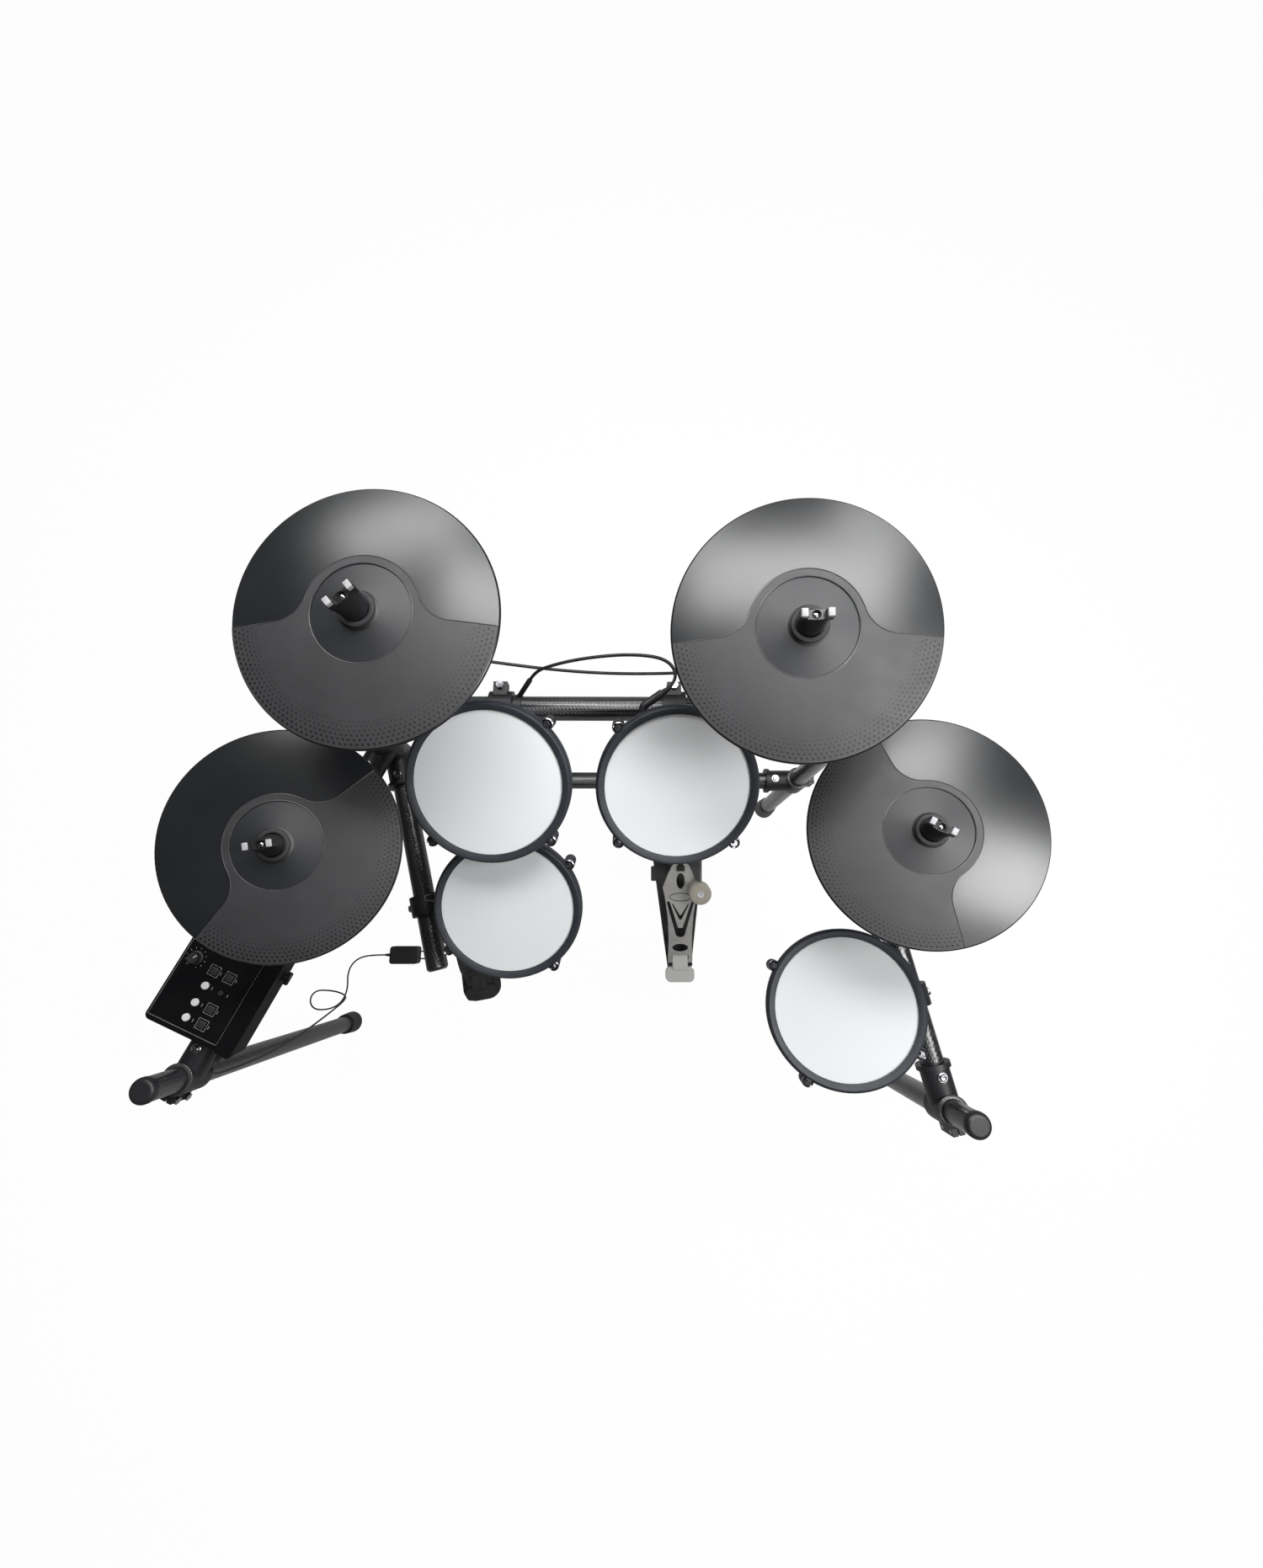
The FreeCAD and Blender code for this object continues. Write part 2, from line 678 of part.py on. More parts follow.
# One trigger pad: dished shell with its lugs and foam sensor, mesh head, and hoop with its screws.
def trigger_pad(name, place, lugs, boss=False):
    spots = [place * turned(UP, value(lugs) + 90 * k) * at(value("lug_circle")) for k in range(4)]
    floor = at(0, 0, -value("shell_depth"))
    top = "shell_depth - head_thickness - bond_gap"
    dish = piece("Cone", name + "_dish", place * floor,
                 Radius1="shell_bottom_radius", Radius2="shell_top_radius", Height=top)
    hollow = piece("Cone", name + "_hollow", place * floor * at(0, 0, value("shell_floor")),
                   Radius1="shell_bottom_radius - shell_wall", Radius2="shell_top_radius - shell_wall",
                   Height=top)
    lug_top = -value("hoop_skirt") - 1
    lug_floor = lug_top - value("lug_height")
    lug_pieces = []
    drilled = []
    screws = []
    hoop_ears = []
    hoop_holes = []
    for k, spot in enumerate(spots):
        tag = name + "_%d" % k
        lug_pieces.append(piece("Cylinder", tag + "_lug", spot * at(0, 0, lug_floor),
                                Radius="lug_radius", Height="lug_height"))
        web_place = spot * at(-value("lug_circle") * 0.15, 0, lug_floor)
        lug_pieces.append(centred_box(tag + "_web", "0.3*lug_circle", "lug_web", "lug_height", web_place))
        drilled.append(piece("Cylinder", tag + "_lug_hole", spot * at(0, 0, lug_floor + 3),
                             Radius="tension_radius + bond_gap", Height="lug_height"))
        ear_floor = -value("hoop_skirt")
        ear_top = ear_floor + value("ear_height")
        hoop_ears.append(piece("Cylinder", tag + "_ear", spot * at(0, 0, ear_floor),
                               Radius="lug_radius", Height="ear_height"))
        hoop_holes.append(piece("Cylinder", tag + "_ear_hole", spot * at(0, 0, ear_floor - 1),
                                Radius="tension_radius + bond_gap", Height="ear_height + 2"))
        hoop_holes.append(piece("Cylinder", tag + "_head_well", spot * at(0, 0, ear_top),
                                Radius="tension_head_radius + 0.6", Height="hoop_skirt + hoop_rise"))
        shank = piece("Cylinder", tag + "_shank", spot * at(0, 0, lug_floor + 4),
                      Radius="tension_radius",
                      Height="%f + tension_head_height" % (ear_top - lug_floor - 4))
        flange = piece("Cylinder", tag + "_head", spot * at(0, 0, ear_top),
                       Radius="tension_head_radius", Height="tension_head_height")
        drive_place = spot * at(0, 0, ear_top + value("tension_head_height"))
        drive = centred_box(tag + "_drive", "tension_square", "tension_square", "tension_square",
                            drive_place)
        screws.append(fused(tag + "_screw", shank, flange, drive))
    solids = [dish] + lug_pieces
    if boss:
        boss_place = place * floor * at(0, 0, -value("boss_height"))
        solids.append(centred_box(name + "_boss", "boss_length", "boss_width", "boss_height + 1",
                                  boss_place))
        drilled.append(piece("Cylinder", name + "_boss_bore",
                             boss_place * at(-value("boss_length"), 0,
                                             value("boss_height/2")) * turned(ALONG, 90),
                             Radius="rod_radius + running_gap", Height="2*boss_length"))
    shell = cut(name + "_moulding", fused(name + "_blank", *solids), hollow, *drilled)
    sensor = piece("Cone", name + "_sensor", place * floor * at(0, 0, value("shell_floor")),
                   Radius1="sensor_base_radius", Radius2="sensor_tip_radius",
                   Height="shell_depth - shell_floor - head_thickness - running_gap")
    head = piece("Cylinder", name + "_skin", place * at(0, 0, -value("head_thickness")),
                 Radius="head_radius", Height="head_thickness")
    inner = "shell_top_radius + 0.6"
    ring = lathe(name + "_ring", [
        ("hoop_inner_radius", "running_gap"), (inner, "running_gap"), (inner, "-hoop_skirt"),
        ("hoop_radius", "-hoop_skirt"), ("hoop_radius", "0"),
        ("hoop_radius - hoop_round/2", "hoop_rise"), ("hoop_inner_radius", "hoop_rise/2"),
    ], {4: "hoop_round", 5: "3*hoop_round"}, place)
    hoop = cut(name + "_rim", fused(name + "_hoop_blank", ring, *hoop_ears), *hoop_holes)
    node(name + "_head", head)
    node(name + "_hoop", hoop, *screws)
    return shell, sensor, dish


# The tom bracket: a split ring on the upper bar with an arm that seats against the shell.
def tom_bracket(name, place, dish):
    bar_spot = Vector(place.Base.x, value("rear_y"), value("upper_bar_z"))
    half = value("bracket_width / 2")
    across = turned(ALONG, 90)
    ring = piece("Cylinder", name + "_ring_clamp", Placement(bar_spot, Rotation()) * at(-half) * across,
                 Radius="tube_radius + hanger_wall", Height="bracket_width")
    target = place * Vector(0, value("0.6*shell_bottom_radius"), -value("shell_depth") + 8)
    reach = target - bar_spot
    arm_place = pointing(bar_spot, reach)
    arm = piece("Box", name + "_arm",
                arm_place * at(-value("bracket_width") * 0.35, -value("bracket_thickness/2")),
                Length="0.7*bracket_width", Width="bracket_thickness", Height="%f" % reach.Length)
    ear_place = Placement(bar_spot, Rotation()) * at(0, value("tube_radius + 6"),
                                                     value("tube_radius / 3"))
    ear = centred_box(name + "_clamp_ear", "0.6*bracket_width", "1.2*bracket_thickness",
                      "bracket_thickness", ear_place)
    bore = piece("Cylinder", name + "_bar_hole", Placement(bar_spot, Rotation()) * at(-half - 1) * across,
                 Radius="tube_radius + running_gap", Height="bracket_width + 2")
    screw_place = ear_place * at(0, value("bracket_thickness/4"), value("bracket_thickness"))
    downward = turned(ACROSS, 180)
    screw = bolt(name + "_clamp_bolt", screw_place * downward, "bracket_thickness - 4")
    hole = piece("Cylinder", name + "_clamp_hole", screw_place * downward,
                 Radius="bolt_radius + bond_gap", Height="bracket_thickness - 4")
    bracket = cut(name + "_bracket", fused(name + "_bracket_blank", ring, arm, ear), bore, hole, dish)
    return bracket, screw


def build_pads():
    for name in ("tom_1", "tom_2"):
        place = leaning(name, value(name + "_front"))
        shell, sensor, dish = trigger_pad(name, place, "tom_lugs")
        solids = [sensor, *tom_bracket(name, place, dish)]
        if name == "tom_2":
            shell, plug = tom_plug(place, shell)
            solids.append(plug)
        node(name + "_shell", shell, *solids)
    place = leaning("snare", value("snare_front"))
    shell, sensor, dish = trigger_pad("snare", place, "snare_lugs", True)
    node("snare_shell", shell, sensor)
    place = leaning("floor_tom", 0, value("floor_tom_side"))
    shell, sensor, dish = trigger_pad("floor_tom", place, "floor_tom_lugs", True)
    node("floor_tom_shell", shell, sensor)


# An L-shaped rod from a pad's boss to its hanger, entering the boss from the given side.
def pad_rod(name, place, side, spot, sideways):
    level = -value("shell_depth + boss_height/2")
    inside = place * Vector(side * value("boss_length/2 - rod_depth"), 0, level)
    outward = place.Rotation * Vector(side, 0, 0)
    leg = spot + sideways * value("hanger_reach")
    run = (leg.x - inside.x) / outward.x
    elbow = inside + outward * run
    leg_end = Vector(elbow.x, elbow.y, spot.z - value("hanger_height/2 + 6"))
    return bent_rod(name, [inside, elbow, leg_end], "rod_radius", "rod_bend")


# One cymbal pad: hollow bow with its bell and grommet, and the rubber zone laid on it.
def cymbal(name, place, zone):
    outer = "sqrt(rock_radius^2 - %s^2) - rock_depth"
    under = "sqrt((rock_radius - grommet_wall)^2 - %s^2) - rock_depth"
    rim = "cymbal_radius - rim_inset"
    shell_corners = [
        ("hole_radius", under % "hole_radius"), ("grommet_radius", under % "grommet_radius"),
        ("bell_radius", "bow_rise - cymbal_wall"), (rim, "-edge_drop"),
        ("cymbal_radius", "0"), (rim, "edge_drop"),
        ("bell_radius", "bow_rise"), ("grommet_radius", outer % "grommet_radius"),
        ("hole_radius", outer % "hole_radius"),
    ]
    arcs = {0: "-(rock_radius - grommet_wall)", 2: "-bow_arc", 3: "rim_round", 4: "rim_round",
            5: "bow_arc", 7: "rock_radius"}
    bow = lathe(name + "_bow", shell_corners, arcs, place)
    box_place = place * at(0, value("jack_box_place"), -value("jack_box_height - bow_rise + cymbal_wall"))
    jack_box = centred_box(name + "_jack_box", "jack_box_length", "jack_box_width", "jack_box_height",
                           box_place)
    node(name + "_shell", fused(name + "_moulding", bow, jack_box))
    layer = lathe(name + "_layer", [
        ("bell_radius", "bow_rise + bond_gap"), (rim, "edge_drop + bond_gap"),
        (rim, "edge_drop + rubber_wall"), ("bell_radius", "bow_rise + rubber_wall"),
    ], {0: "-bow_arc", 2: "bow_arc"}, place)
    zone_place = place * turned(UP, value(zone) if zone else 0)
    outline_shape = formed(name + "_zone", rubber_zone(), zone_place)
    node(name + "_rubber", common(name + "_rubber_cut", layer, outline_shape))


# Outline of the rubber zone: a sector towards the drummer, a collar round the bell and
# the swept fillets that join them, drawn with the sector's middle along -Y.
def rubber_zone():
    collar = value("collar_radius")
    fillet = value("zone_fillet")
    rim = value("cymbal_radius + 10")
    half = math.radians(value("rubber_half_turn"))
    touch = math.sqrt((collar + fillet) ** 2 - fillet ** 2)

    def polar(radius, angle):
        return Vector(radius * math.sin(angle), -radius * math.cos(angle), 0)

    def mirrored(spot):
        return Vector(-spot.x, spot.y, 0)

    ray = polar(1, half)
    away = Vector(-ray.y, ray.x, 0)
    centre = ray * touch + away * fillet
    on_ray = ray * touch
    on_collar = centre * (collar / (collar + fillet))
    middle = centre + ((on_ray + on_collar) / 2 - centre).normalize() * fillet
    edges = [
        Part.Arc(mirrored(ray * rim), Vector(0, -rim, 0), ray * rim),
        Part.LineSegment(ray * rim, on_ray),
        Part.Arc(on_ray, middle, on_collar),
        Part.Arc(on_collar, Vector(0, collar, 0), mirrored(on_collar)),
        Part.Arc(mirrored(on_collar), mirrored(middle), mirrored(on_ray)),
        Part.LineSegment(mirrored(on_ray), mirrored(ray * rim)),
    ]
    face = Part.Face(Part.Wire([edge.toShape() for edge in edges]))
    face.translate(Vector(0, 0, -value("cymbal_radius")))
    return face.extrude(Vector(0, 0, value("2*cymbal_radius")))


# A moulded wing nut, lofted from a round foot to a blade with two square tips.
def wing_nut(name, place, turn):
    foot_level = "sqrt((rock_radius + running_gap)^2 - nut_radius^2) - rock_depth"
    base = value(foot_level)
    local = place * turned(UP, value(turn))
    ring = piece("Circle", name + "_foot", local * at(0, 0, base), Radius="nut_radius")
    blade = piece("Ellipse", name + "_blade", local * at(0, 0, base + value("nut_height")),
                  MajorRadius="blade_length", MinorRadius="blade_thickness")
    loft = doc.addObject("Part::Loft", name + "_loft")
    loft.Sections = [ring, blade]
    loft.Solid = True
    skirt = piece("Cylinder", name + "_skirt", local * at(0, 0, base - 2), Radius="nut_radius",
                  Height="2")
    tips = []
    for side in (-1, 1):
        tip_place = local * at(side * value("blade_length - tip_length/2"), 0,
                               base + value("nut_height") - 6)
        tips.append(centred_box(name + "_tip_%d" % side, "tip_length", "2*blade_thickness - 2",
                                "tip_height + 6", tip_place))
    dome = piece("Sphere", name + "_dome", place * at(0, 0, -value("rock_depth")),
                 Radius="rock_radius + running_gap")
    bore = piece("Cylinder", name + "_bore", place, Radius="nut_bore", Height="stem_top + 20")
    node(name, cut(name + "_body", fused(name + "_blank", loft, skirt, *tips), dome, bore))


# A bent boom from its socket up to the cymbal, with the stop that rests on the socket,
# the domed seat and the stem.
def boom(name, place, spot, socket_top, knee):
    top = place * Vector(0, 0, 4)
    elbow = place * Vector(0, 0, -value("stem_drop"))
    knee_spot = Vector(spot.x, spot.y, value(knee))
    foot_spot = Vector(spot.x, spot.y, socket_top - value("boom_insert"))
    rod = bent_rod(name + "_rod", [foot_spot, knee_spot, elbow, top], "boom_radius", "boom_bend")
    stop = piece("Cylinder", name + "_stop", at(spot.x, spot.y, socket_top + value("running_gap")),
                 Radius="boom_radius + stop_wall", Height="stop_height")
    ball = piece("Sphere", name + "_ball", place * at(0, 0, -value("rock_depth")),
                 Radius="rock_radius - grommet_wall - running_gap")
    column = piece("Cylinder", name + "_column", place * at(0, 0, 2), Radius="seat_radius",
                   Height="rock_radius")
    seat = common(name + "_seat", ball, column)
    stem = piece("Cylinder", name + "_stem", place * at(0, 0, 4), Radius="stem_radius",
                 Height="stem_top - 4")
    node(name, fused(name + "_bent", rod, stop, seat, stem))


def inside_of(side):
    direction = WING[side]
    return Vector(-direction.y, direction.x, 0) * (1 if side == "left" else -1)


def build_cymbals():
    for name, side in (("crash_left", "left"), ("crash_right", "right")):
        place = leaning(name, value(name + "_front"), value(name + "_side"))
        socket_top = value("rear_post_top + cap_height")
        boom(name + "_boom", place, REAR[side], socket_top, name + "_knee")
        cymbal(name, place, None)
        wing_nut(name + "_wing_nut", place, name + "_nut")
    hangers = {}
    for name, side in (("hihat", "left"), ("ride", "right")):
        place = leaning(name, value(name + "_front"), value(name + "_side"))
        sideways = inside_of(side) if side == "left" else inside_of(side) * -1
        spot = along_wing(REAR[side], WING[side], sideways, "wing_bar_z", place.Base.y)
        hangers[side] = hanger(name + "_hanger", spot, WING[side], sideways, "boom_radius", "running_gap")
        leg = spot + sideways * value("hanger_reach")
        boom(name + "_boom", place, leg, spot.z + value("hanger_height/2"), name + "_knee")
        cymbal(name, place, name + "_zone")
        wing_nut(name + "_wing_nut", place, name + "_nut")
    return hangers


def build_rack(hangers):
    posts = [post("rear_post_" + side, REAR[side], "rear_post_top") for side in REAR]
    node("rear_posts", *posts)
    span = "rear_span - 2*(tee_seat + bond_gap)"
    bars = [bar("bar_" + alias, REAR["left"], ACROSS, alias, span) for alias in ("upper_bar_z",
                                                                                 "lower_bar_z")]
    node("crossbars", *bars)
    fittings = []
    for alias in ("upper_bar_z", "lower_bar_z"):
        fittings += tee("left_tee_" + alias, REAR["left"], ACROSS, alias, "bond_gap")
        fittings += tee("right_tee_" + alias, REAR["right"], ACROSS * -1, alias, "bond_gap")
    fittings += tee("snare_tee", REAR["left"], SNARE_ARM, "snare_arm_z", "bond_gap")
    for side in REAR:
        cap_place = Placement(REAR[side] + UP * value("rear_post_top"), Rotation())
        fittings.append(end_cap("rear_cap_" + side, cap_place, "boom_radius + running_gap"))
        fittings.append(foot("rear_foot_" + side, REAR[side]))
    arm_length = "snare_arm_length - tee_seat - bond_gap"
    arm = bar("snare_arm_tube", REAR["left"], SNARE_ARM, "snare_arm_z", arm_length)
    tip = REAR["left"] + SNARE_ARM * value("snare_arm_length") + UP * value("snare_arm_z")
    arm_cap = end_cap("snare_arm_cap", pointing(tip, SNARE_ARM), lip="0")
    snare = leaning("snare", value("snare_front"))
    sideways = Vector(-SNARE_ARM.y, SNARE_ARM.x, 0)
    rod_y = (snare * Vector(0, 0, -value("shell_depth + boss_height/2"))).y
    spot = along_wing(REAR["left"], SNARE_ARM, sideways, "snare_arm_z", rod_y)
    fittings += hanger("snare_hanger", spot, SNARE_ARM, sideways, "rod_radius", "bond_gap")
    node("snare_arm", arm, arm_cap, pad_rod("snare_rod", snare, -1, spot, sideways))
    fittings += lead_clips()
    node("rear_fittings", *fittings)
    for side in REAR:
        name = side + "_wing"
        length = "wing_length - 2*(tee_seat + bond_gap)"
        rail = bar(name + "_bar", REAR[side], WING[side], "wing_bar_z", length)
        node(name + "_tubes", rail, post(name + "_post", FRONT[side], "front_post_top"))
        wing_fittings = tee(name + "_rear_tee", REAR[side], WING[side], "wing_bar_z", "running_gap")
        wing_fittings += tee(name + "_front_tee", FRONT[side], WING[side] * -1, "wing_bar_z", "bond_gap")
        cap_place = Placement(FRONT[side] + UP * value("front_post_top"), Rotation())
        wing_fittings.append(end_cap(name + "_cap", cap_place))
        wing_fittings.append(foot(name + "_foot", FRONT[side]))
        wing_fittings += hangers[side]
        if side == "right":
            floor_tom = leaning("floor_tom", 0, value("floor_tom_side"))
            spot = along_wing(REAR[side], WING[side], inside_of(side), "wing_bar_z", value("floor_tom_y"))
            wing_fittings += hanger("floor_tom_hanger", spot, WING[side], inside_of(side), "rod_radius",
                                    "bond_gap")
            node("floor_tom_rod", pad_rod("floor_tom_leg", floor_tom, 1, spot, inside_of(side)))
        node(name + "_fittings", *wing_fittings)


# A hinged pedal board: a plate with a notch at its heel and a hinge lug on each side of the
# notch, drawn with the hinge along local X. Its flanks follow the given radius up to the belly.
def pedal_board(name, place, heel, widest, toe, belly, length, thickness, flank):
    half = "knuckle_radius + 4"
    corners = [
        ("-(%s)/2" % heel, half), ("(%s)/2" % heel, half), ("(%s)/2" % widest, belly),
        ("(%s)/2" % toe, "%s - (%s)/4" % (length, toe)), ("(%s)/4" % toe, length),
        ("-(%s)/4" % toe, length), ("-(%s)/2" % toe, "%s - (%s)/4" % (length, toe)),
        ("-(%s)/2" % widest, belly),
    ]
    arcs = {1: flank, 2: "board_bulge", 3: "(%s)/3" % toe, 5: "(%s)/3" % toe, 6: "board_bulge", 7: flank}
    sheet_metal = plate(name + "_plate", corners, thickness, arcs, place)
    notch = centred_box(name + "_notch", "knuckle_length + 2*notch_gap", "notch_depth", "3*(%s)" % thickness,
                        place * at(0, value("notch_depth/2"), -value(thickness)))
    solids = [cut(name + "_notched", sheet_metal, notch)]
    for side in (-1, 1):
        middle = side * value("knuckle_length/2 + running_gap + lug_length/2")
        solids.append(piece("Cylinder", name + "_lug_%d" % side,
                            place * at(middle - value("lug_length/2")) * turned(ALONG, 90),
                            Radius="knuckle_radius", Height="lug_length"))
        solids.append(centred_box(name + "_strip_%d" % side, "lug_length", half + " + 2", thickness,
                                  place * at(middle, value(half) / 2 + 1)))
    bore = piece("Cylinder", name + "_pin_bore",
                 place * at(-value("knuckle_length/2 + 2*lug_length")) * turned(ALONG, 90),
                 Radius="pin_radius + running_gap", Height="knuckle_length + 4*lug_length")
    return fused(name + "_blank", *solids), bore


# Heel block with the knuckle that carries a pedal's hinge pin, and a tongue in the board's notch.
def heel_block(name, place, width, length, floor, hinge_inset, hinge_height):
    block_place = place * at(0, value(length) / 2, value(floor))
    block = rounded_plate(name + "_block", width, length, "heel_corner",
                          "%s - %s" % (hinge_height, floor), block_place)
    hinge = place * at(0, value(hinge_inset), value(hinge_height))
    knuckle_place = hinge * at(-value("knuckle_length/2")) * turned(ALONG, 90)
    knuckle = piece("Cylinder", name + "_knuckle", knuckle_place, Radius="knuckle_radius",
                    Height="knuckle_length")
    cheek = centred_box(name + "_cheek", "knuckle_length", "3*knuckle_radius",
                        "%s - %s" % (hinge_height, floor),
                        place * at(0, value(hinge_inset + " - knuckle_radius/2"), value(floor)))
    tongue_length = "notch_depth - notch_gap + 2*knuckle_radius"
    tongue = centred_box(name + "_tongue", "knuckle_length", tongue_length, "knuckle_radius",
                         hinge * at(0, value("notch_depth - notch_gap - (%s)/2" % tongue_length)))
    pin_place = hinge * at(-value("knuckle_length/2 + running_gap + lug_length")) * turned(ALONG, 90)
    pin_length = "knuckle_length + 2*running_gap + 2*lug_length"
    pin = piece("Cylinder", name + "_pin", pin_place, Radius="pin_radius", Height=pin_length)
    hole = piece("Cylinder", name + "_pin_hole", pin_place, Radius="pin_radius + bond_gap",
                 Height=pin_length)
    return cut(name, fused(name + "_blank", block, knuckle, cheek, tongue), hole), pin


# An upright elliptical cutter.
def oval(name, place, width, length, height):
    ring = piece("Ellipse", name + "_line", place, MajorRadius="max(%s; %s)/2" % (width, length),
                 MinorRadius="min(%s; %s)/2" % (width, length))
    if value(length) > value(width):
        ring.Placement = place * turned(UP, 90)
    solid = doc.addObject("Part::Extrusion", name)
    solid.Base = ring
    solid.DirMode = "Normal"
    solid.Solid = True
    solid.setExpression("LengthFwd", bound(height))
    return solid


# A vee-shaped cutter with tapering arms and a rounded foot, its sizes named after it.
def vee(prefix, place, depth):
    top, reach, arm = prefix + "_top", prefix + "_reach", prefix + "_arm"
    low, foot_width, inner = prefix + "_low", prefix + "_foot", prefix + "_inner_low"
    corners = [
        ("-" + reach, top), ("-" + foot_width, low), (foot_width, low), (reach, top),
        ("%s - %s" % (reach, arm), top), ("%s/2" % foot_width, inner), ("-%s/2" % foot_width, inner),
        ("%s - %s" % (arm, reach), top),
    ]
    return plate(prefix + "_opening", corners, depth, {1: prefix + "_round"}, place)


# Openings of the kick footboard: an oval at toe and heel, an engraved ring and two nested vees.
def board_openings(place):
    low = place * at(0, 0, -value("board_thickness"))
    depth = "3*board_thickness"
    ring_place = place * at(0, value("ring_oval_place"), value("board_thickness - ring_depth"))
    ring = cut("ring_oval",
               oval("ring_outer", ring_place, "ring_oval_width", "ring_oval_length", "2*ring_depth"),
               oval("ring_inner", ring_place, "ring_oval_width - 2*ring_line",
                    "ring_oval_length - 2*ring_line", "2*ring_depth"))
    ovals = [oval(name, low * at(0, value(name + "_place")), name + "_width", name + "_length", depth)
             for name in ("toe_oval", "heel_oval")]
    return [ring, vee("vee", low, depth), vee("small_vee", low, depth)] + ovals


def build_kick():
    origin = at(value("kick_x"))
    hinge = origin * at(0, value("kick_hinge_y"), value("kick_hinge_z")) * turned(ACROSS,
                                                                                  value("board_rise"))
    blank, bore = pedal_board("kick_board", hinge, "board_heel_width", "board_width", "board_toe_width",
                              "board_widest", "board_length", "board_thickness", "-board_waist")
    anchor = centred_box("strap_clamp", "strap_width + 8", "strap_clamp_depth", "strap_thickness + 6",
                         hinge * at(0, value("strap_anchor"), value("board_thickness") - 1))
    board = cut("kick_board_cut", fused("kick_board_full", blank, anchor), bore, *board_openings(hinge))
    node("kick_footboard", board)
    # strap from the toe to the underside of the sprocket
    start = hinge * Vector(0, value("strap_anchor + strap_clamp_depth/2"), value("board_thickness + 3"))
    centre = Vector(start.x, value("axle_y"), value("axle_z"))
    reach = centre - start
    wrap = value("sprocket_radius + strap_thickness/2 + running_gap")
    slope = math.atan2(reach.z, reach.y) - math.asin(wrap / reach.Length)
    strap_place = Placement(start, Rotation(ACROSS, math.degrees(slope)))
    strap_length = math.sqrt(reach.Length ** 2 - wrap ** 2)
    strap = piece("Box", "strap_web",
                  strap_place * at(-value("strap_width/2"), value("bond_gap"),
                                   -value("strap_thickness/2")),
                  Length="strap_width", Width="%f" % strap_length, Height="strap_thickness")
    node("kick_strap", strap)
    # frame
    full = "upright_gap + 2*upright_width"
    reach = "axle_y - heel_y"
    solids = [plate("kick_base_plate", [
        ("-base_width/2", "0"), ("base_width/2", "0"), ("(%s)/2" % full, reach), ("-(%s)/2" % full, reach),
    ], "base_thickness", None, origin * at(0, value("heel_y")))]
    spur_x = -value("(%s)/2 - spur_width/2" % full)
    solids.append(rounded_plate("kick_spur", "spur_width", "spur_length", "plate_corner/2", "spur_height",
                                origin * at(spur_x, value("axle_y - spur_place"))))
    solids.append(rounded_plate("kick_cross_plate", full, "upright_depth + 2*cross_overhang", "plate_corner",
                                "base_thickness + 1",
                                origin * at(0, value("axle_y"))))
    for side in (-1, 1):
        spot = origin * at(side * value("(upright_gap + upright_width)/2"), value("axle_y"))
        solids.append(centred_box("kick_upright_%d" % side, "upright_width", "upright_depth", "axle_z",
                                  spot))
        solids.append(piece("Cylinder", "kick_upright_top_%d" % side,
                            spot * at(-value("upright_width/2"), 0, value("axle_z")) * turned(ALONG, 90),
                            Radius="upright_depth/2", Height="upright_width"))
    axle_place = origin * at(-value("upright_gap/2 + upright_width + axle_overhang"), value("axle_y"),
                             value("axle_z")) * turned(ALONG, 90)
    axle_length = "upright_gap + 2*upright_width + 2*axle_overhang"
    axle_bore = piece("Cylinder", "kick_axle_bore", axle_place * at(0, 0, -1),
                      Radius="axle_radius + running_gap", Height=axle_length + " + 2")
    frame = cut("kick_frame", fused("kick_frame_blank", *solids), axle_bore)
    drum_place = origin * at(-value("upright_gap/2"), value("axle_y"), value("axle_z")) * turned(ALONG,
                                                                                                 90)
    drum = cut("spring_drum",
               piece("Cylinder", "spring_drum_cup", drum_place, Radius="spring_drum_radius",
                     Height="spring_drum_length"),
               piece("Cylinder", "spring_drum_bore", drum_place * at(0, 0, -1),
                     Radius="axle_radius + running_gap", Height="spring_drum_length + 2"))
    heel, pin = heel_block("kick_heel", origin * at(0, value("heel_y")), "heel_width",
                           "kick_hinge_y - heel_y - knuckle_radius - 1", "base_thickness",
                           "kick_hinge_y - heel_y", "kick_hinge_z")
    node("kick_pedal_base", frame, drum, heel, pin)
    # beater
    axle = piece("Cylinder", "kick_axle", axle_place, Radius="axle_radius", Height=axle_length)
    sprocket = piece("Cylinder", "kick_sprocket",
                     origin * at(-value("sprocket_width/2"), value("axle_y"),
                                 value("axle_z")) * turned(ALONG, 90),
                     Radius="sprocket_radius", Height="sprocket_width")
    hub_spot = origin * at(value("hub_offset"), value("axle_y"), value("axle_z"))
    hub = piece("Cylinder", "beater_hub", hub_spot * at(-value("hub_width/2")) * turned(ALONG, 90),
                Radius="hub_radius", Height="hub_width")
    lying = hub_spot * turned(ACROSS, 90 + value("beater_drop"))
    rod = piece("Cylinder", "beater_rod", lying, Radius="beater_rod_radius", Height="beater_length")
    felt_axis = lying * at(0, 0, value("beater_length")) * turned(ACROSS, -90)
    felt = lathe("felt_blank", [
        ("0", "-felt_length/2"), ("felt_radius - felt_round", "-felt_length/2"),
        ("felt_radius", "felt_round - felt_length/2"),
        ("felt_radius", "felt_length/2 - felt_round"), ("felt_radius - felt_round", "felt_length/2"),
        ("0", "felt_length/2"),
    ], {1: "felt_round", 3: "felt_round"}, felt_axis)
    rod_hole = piece("Cylinder", "beater_rod_hole", lying, Radius="beater_rod_radius + bond_gap",
                     Height="beater_length + 1")
    node("beater_arm", fused("beater_arm_full", axle, sprocket, hub, rod))
    node("beater_felt", cut("felt_drilled", felt, rod_hole))
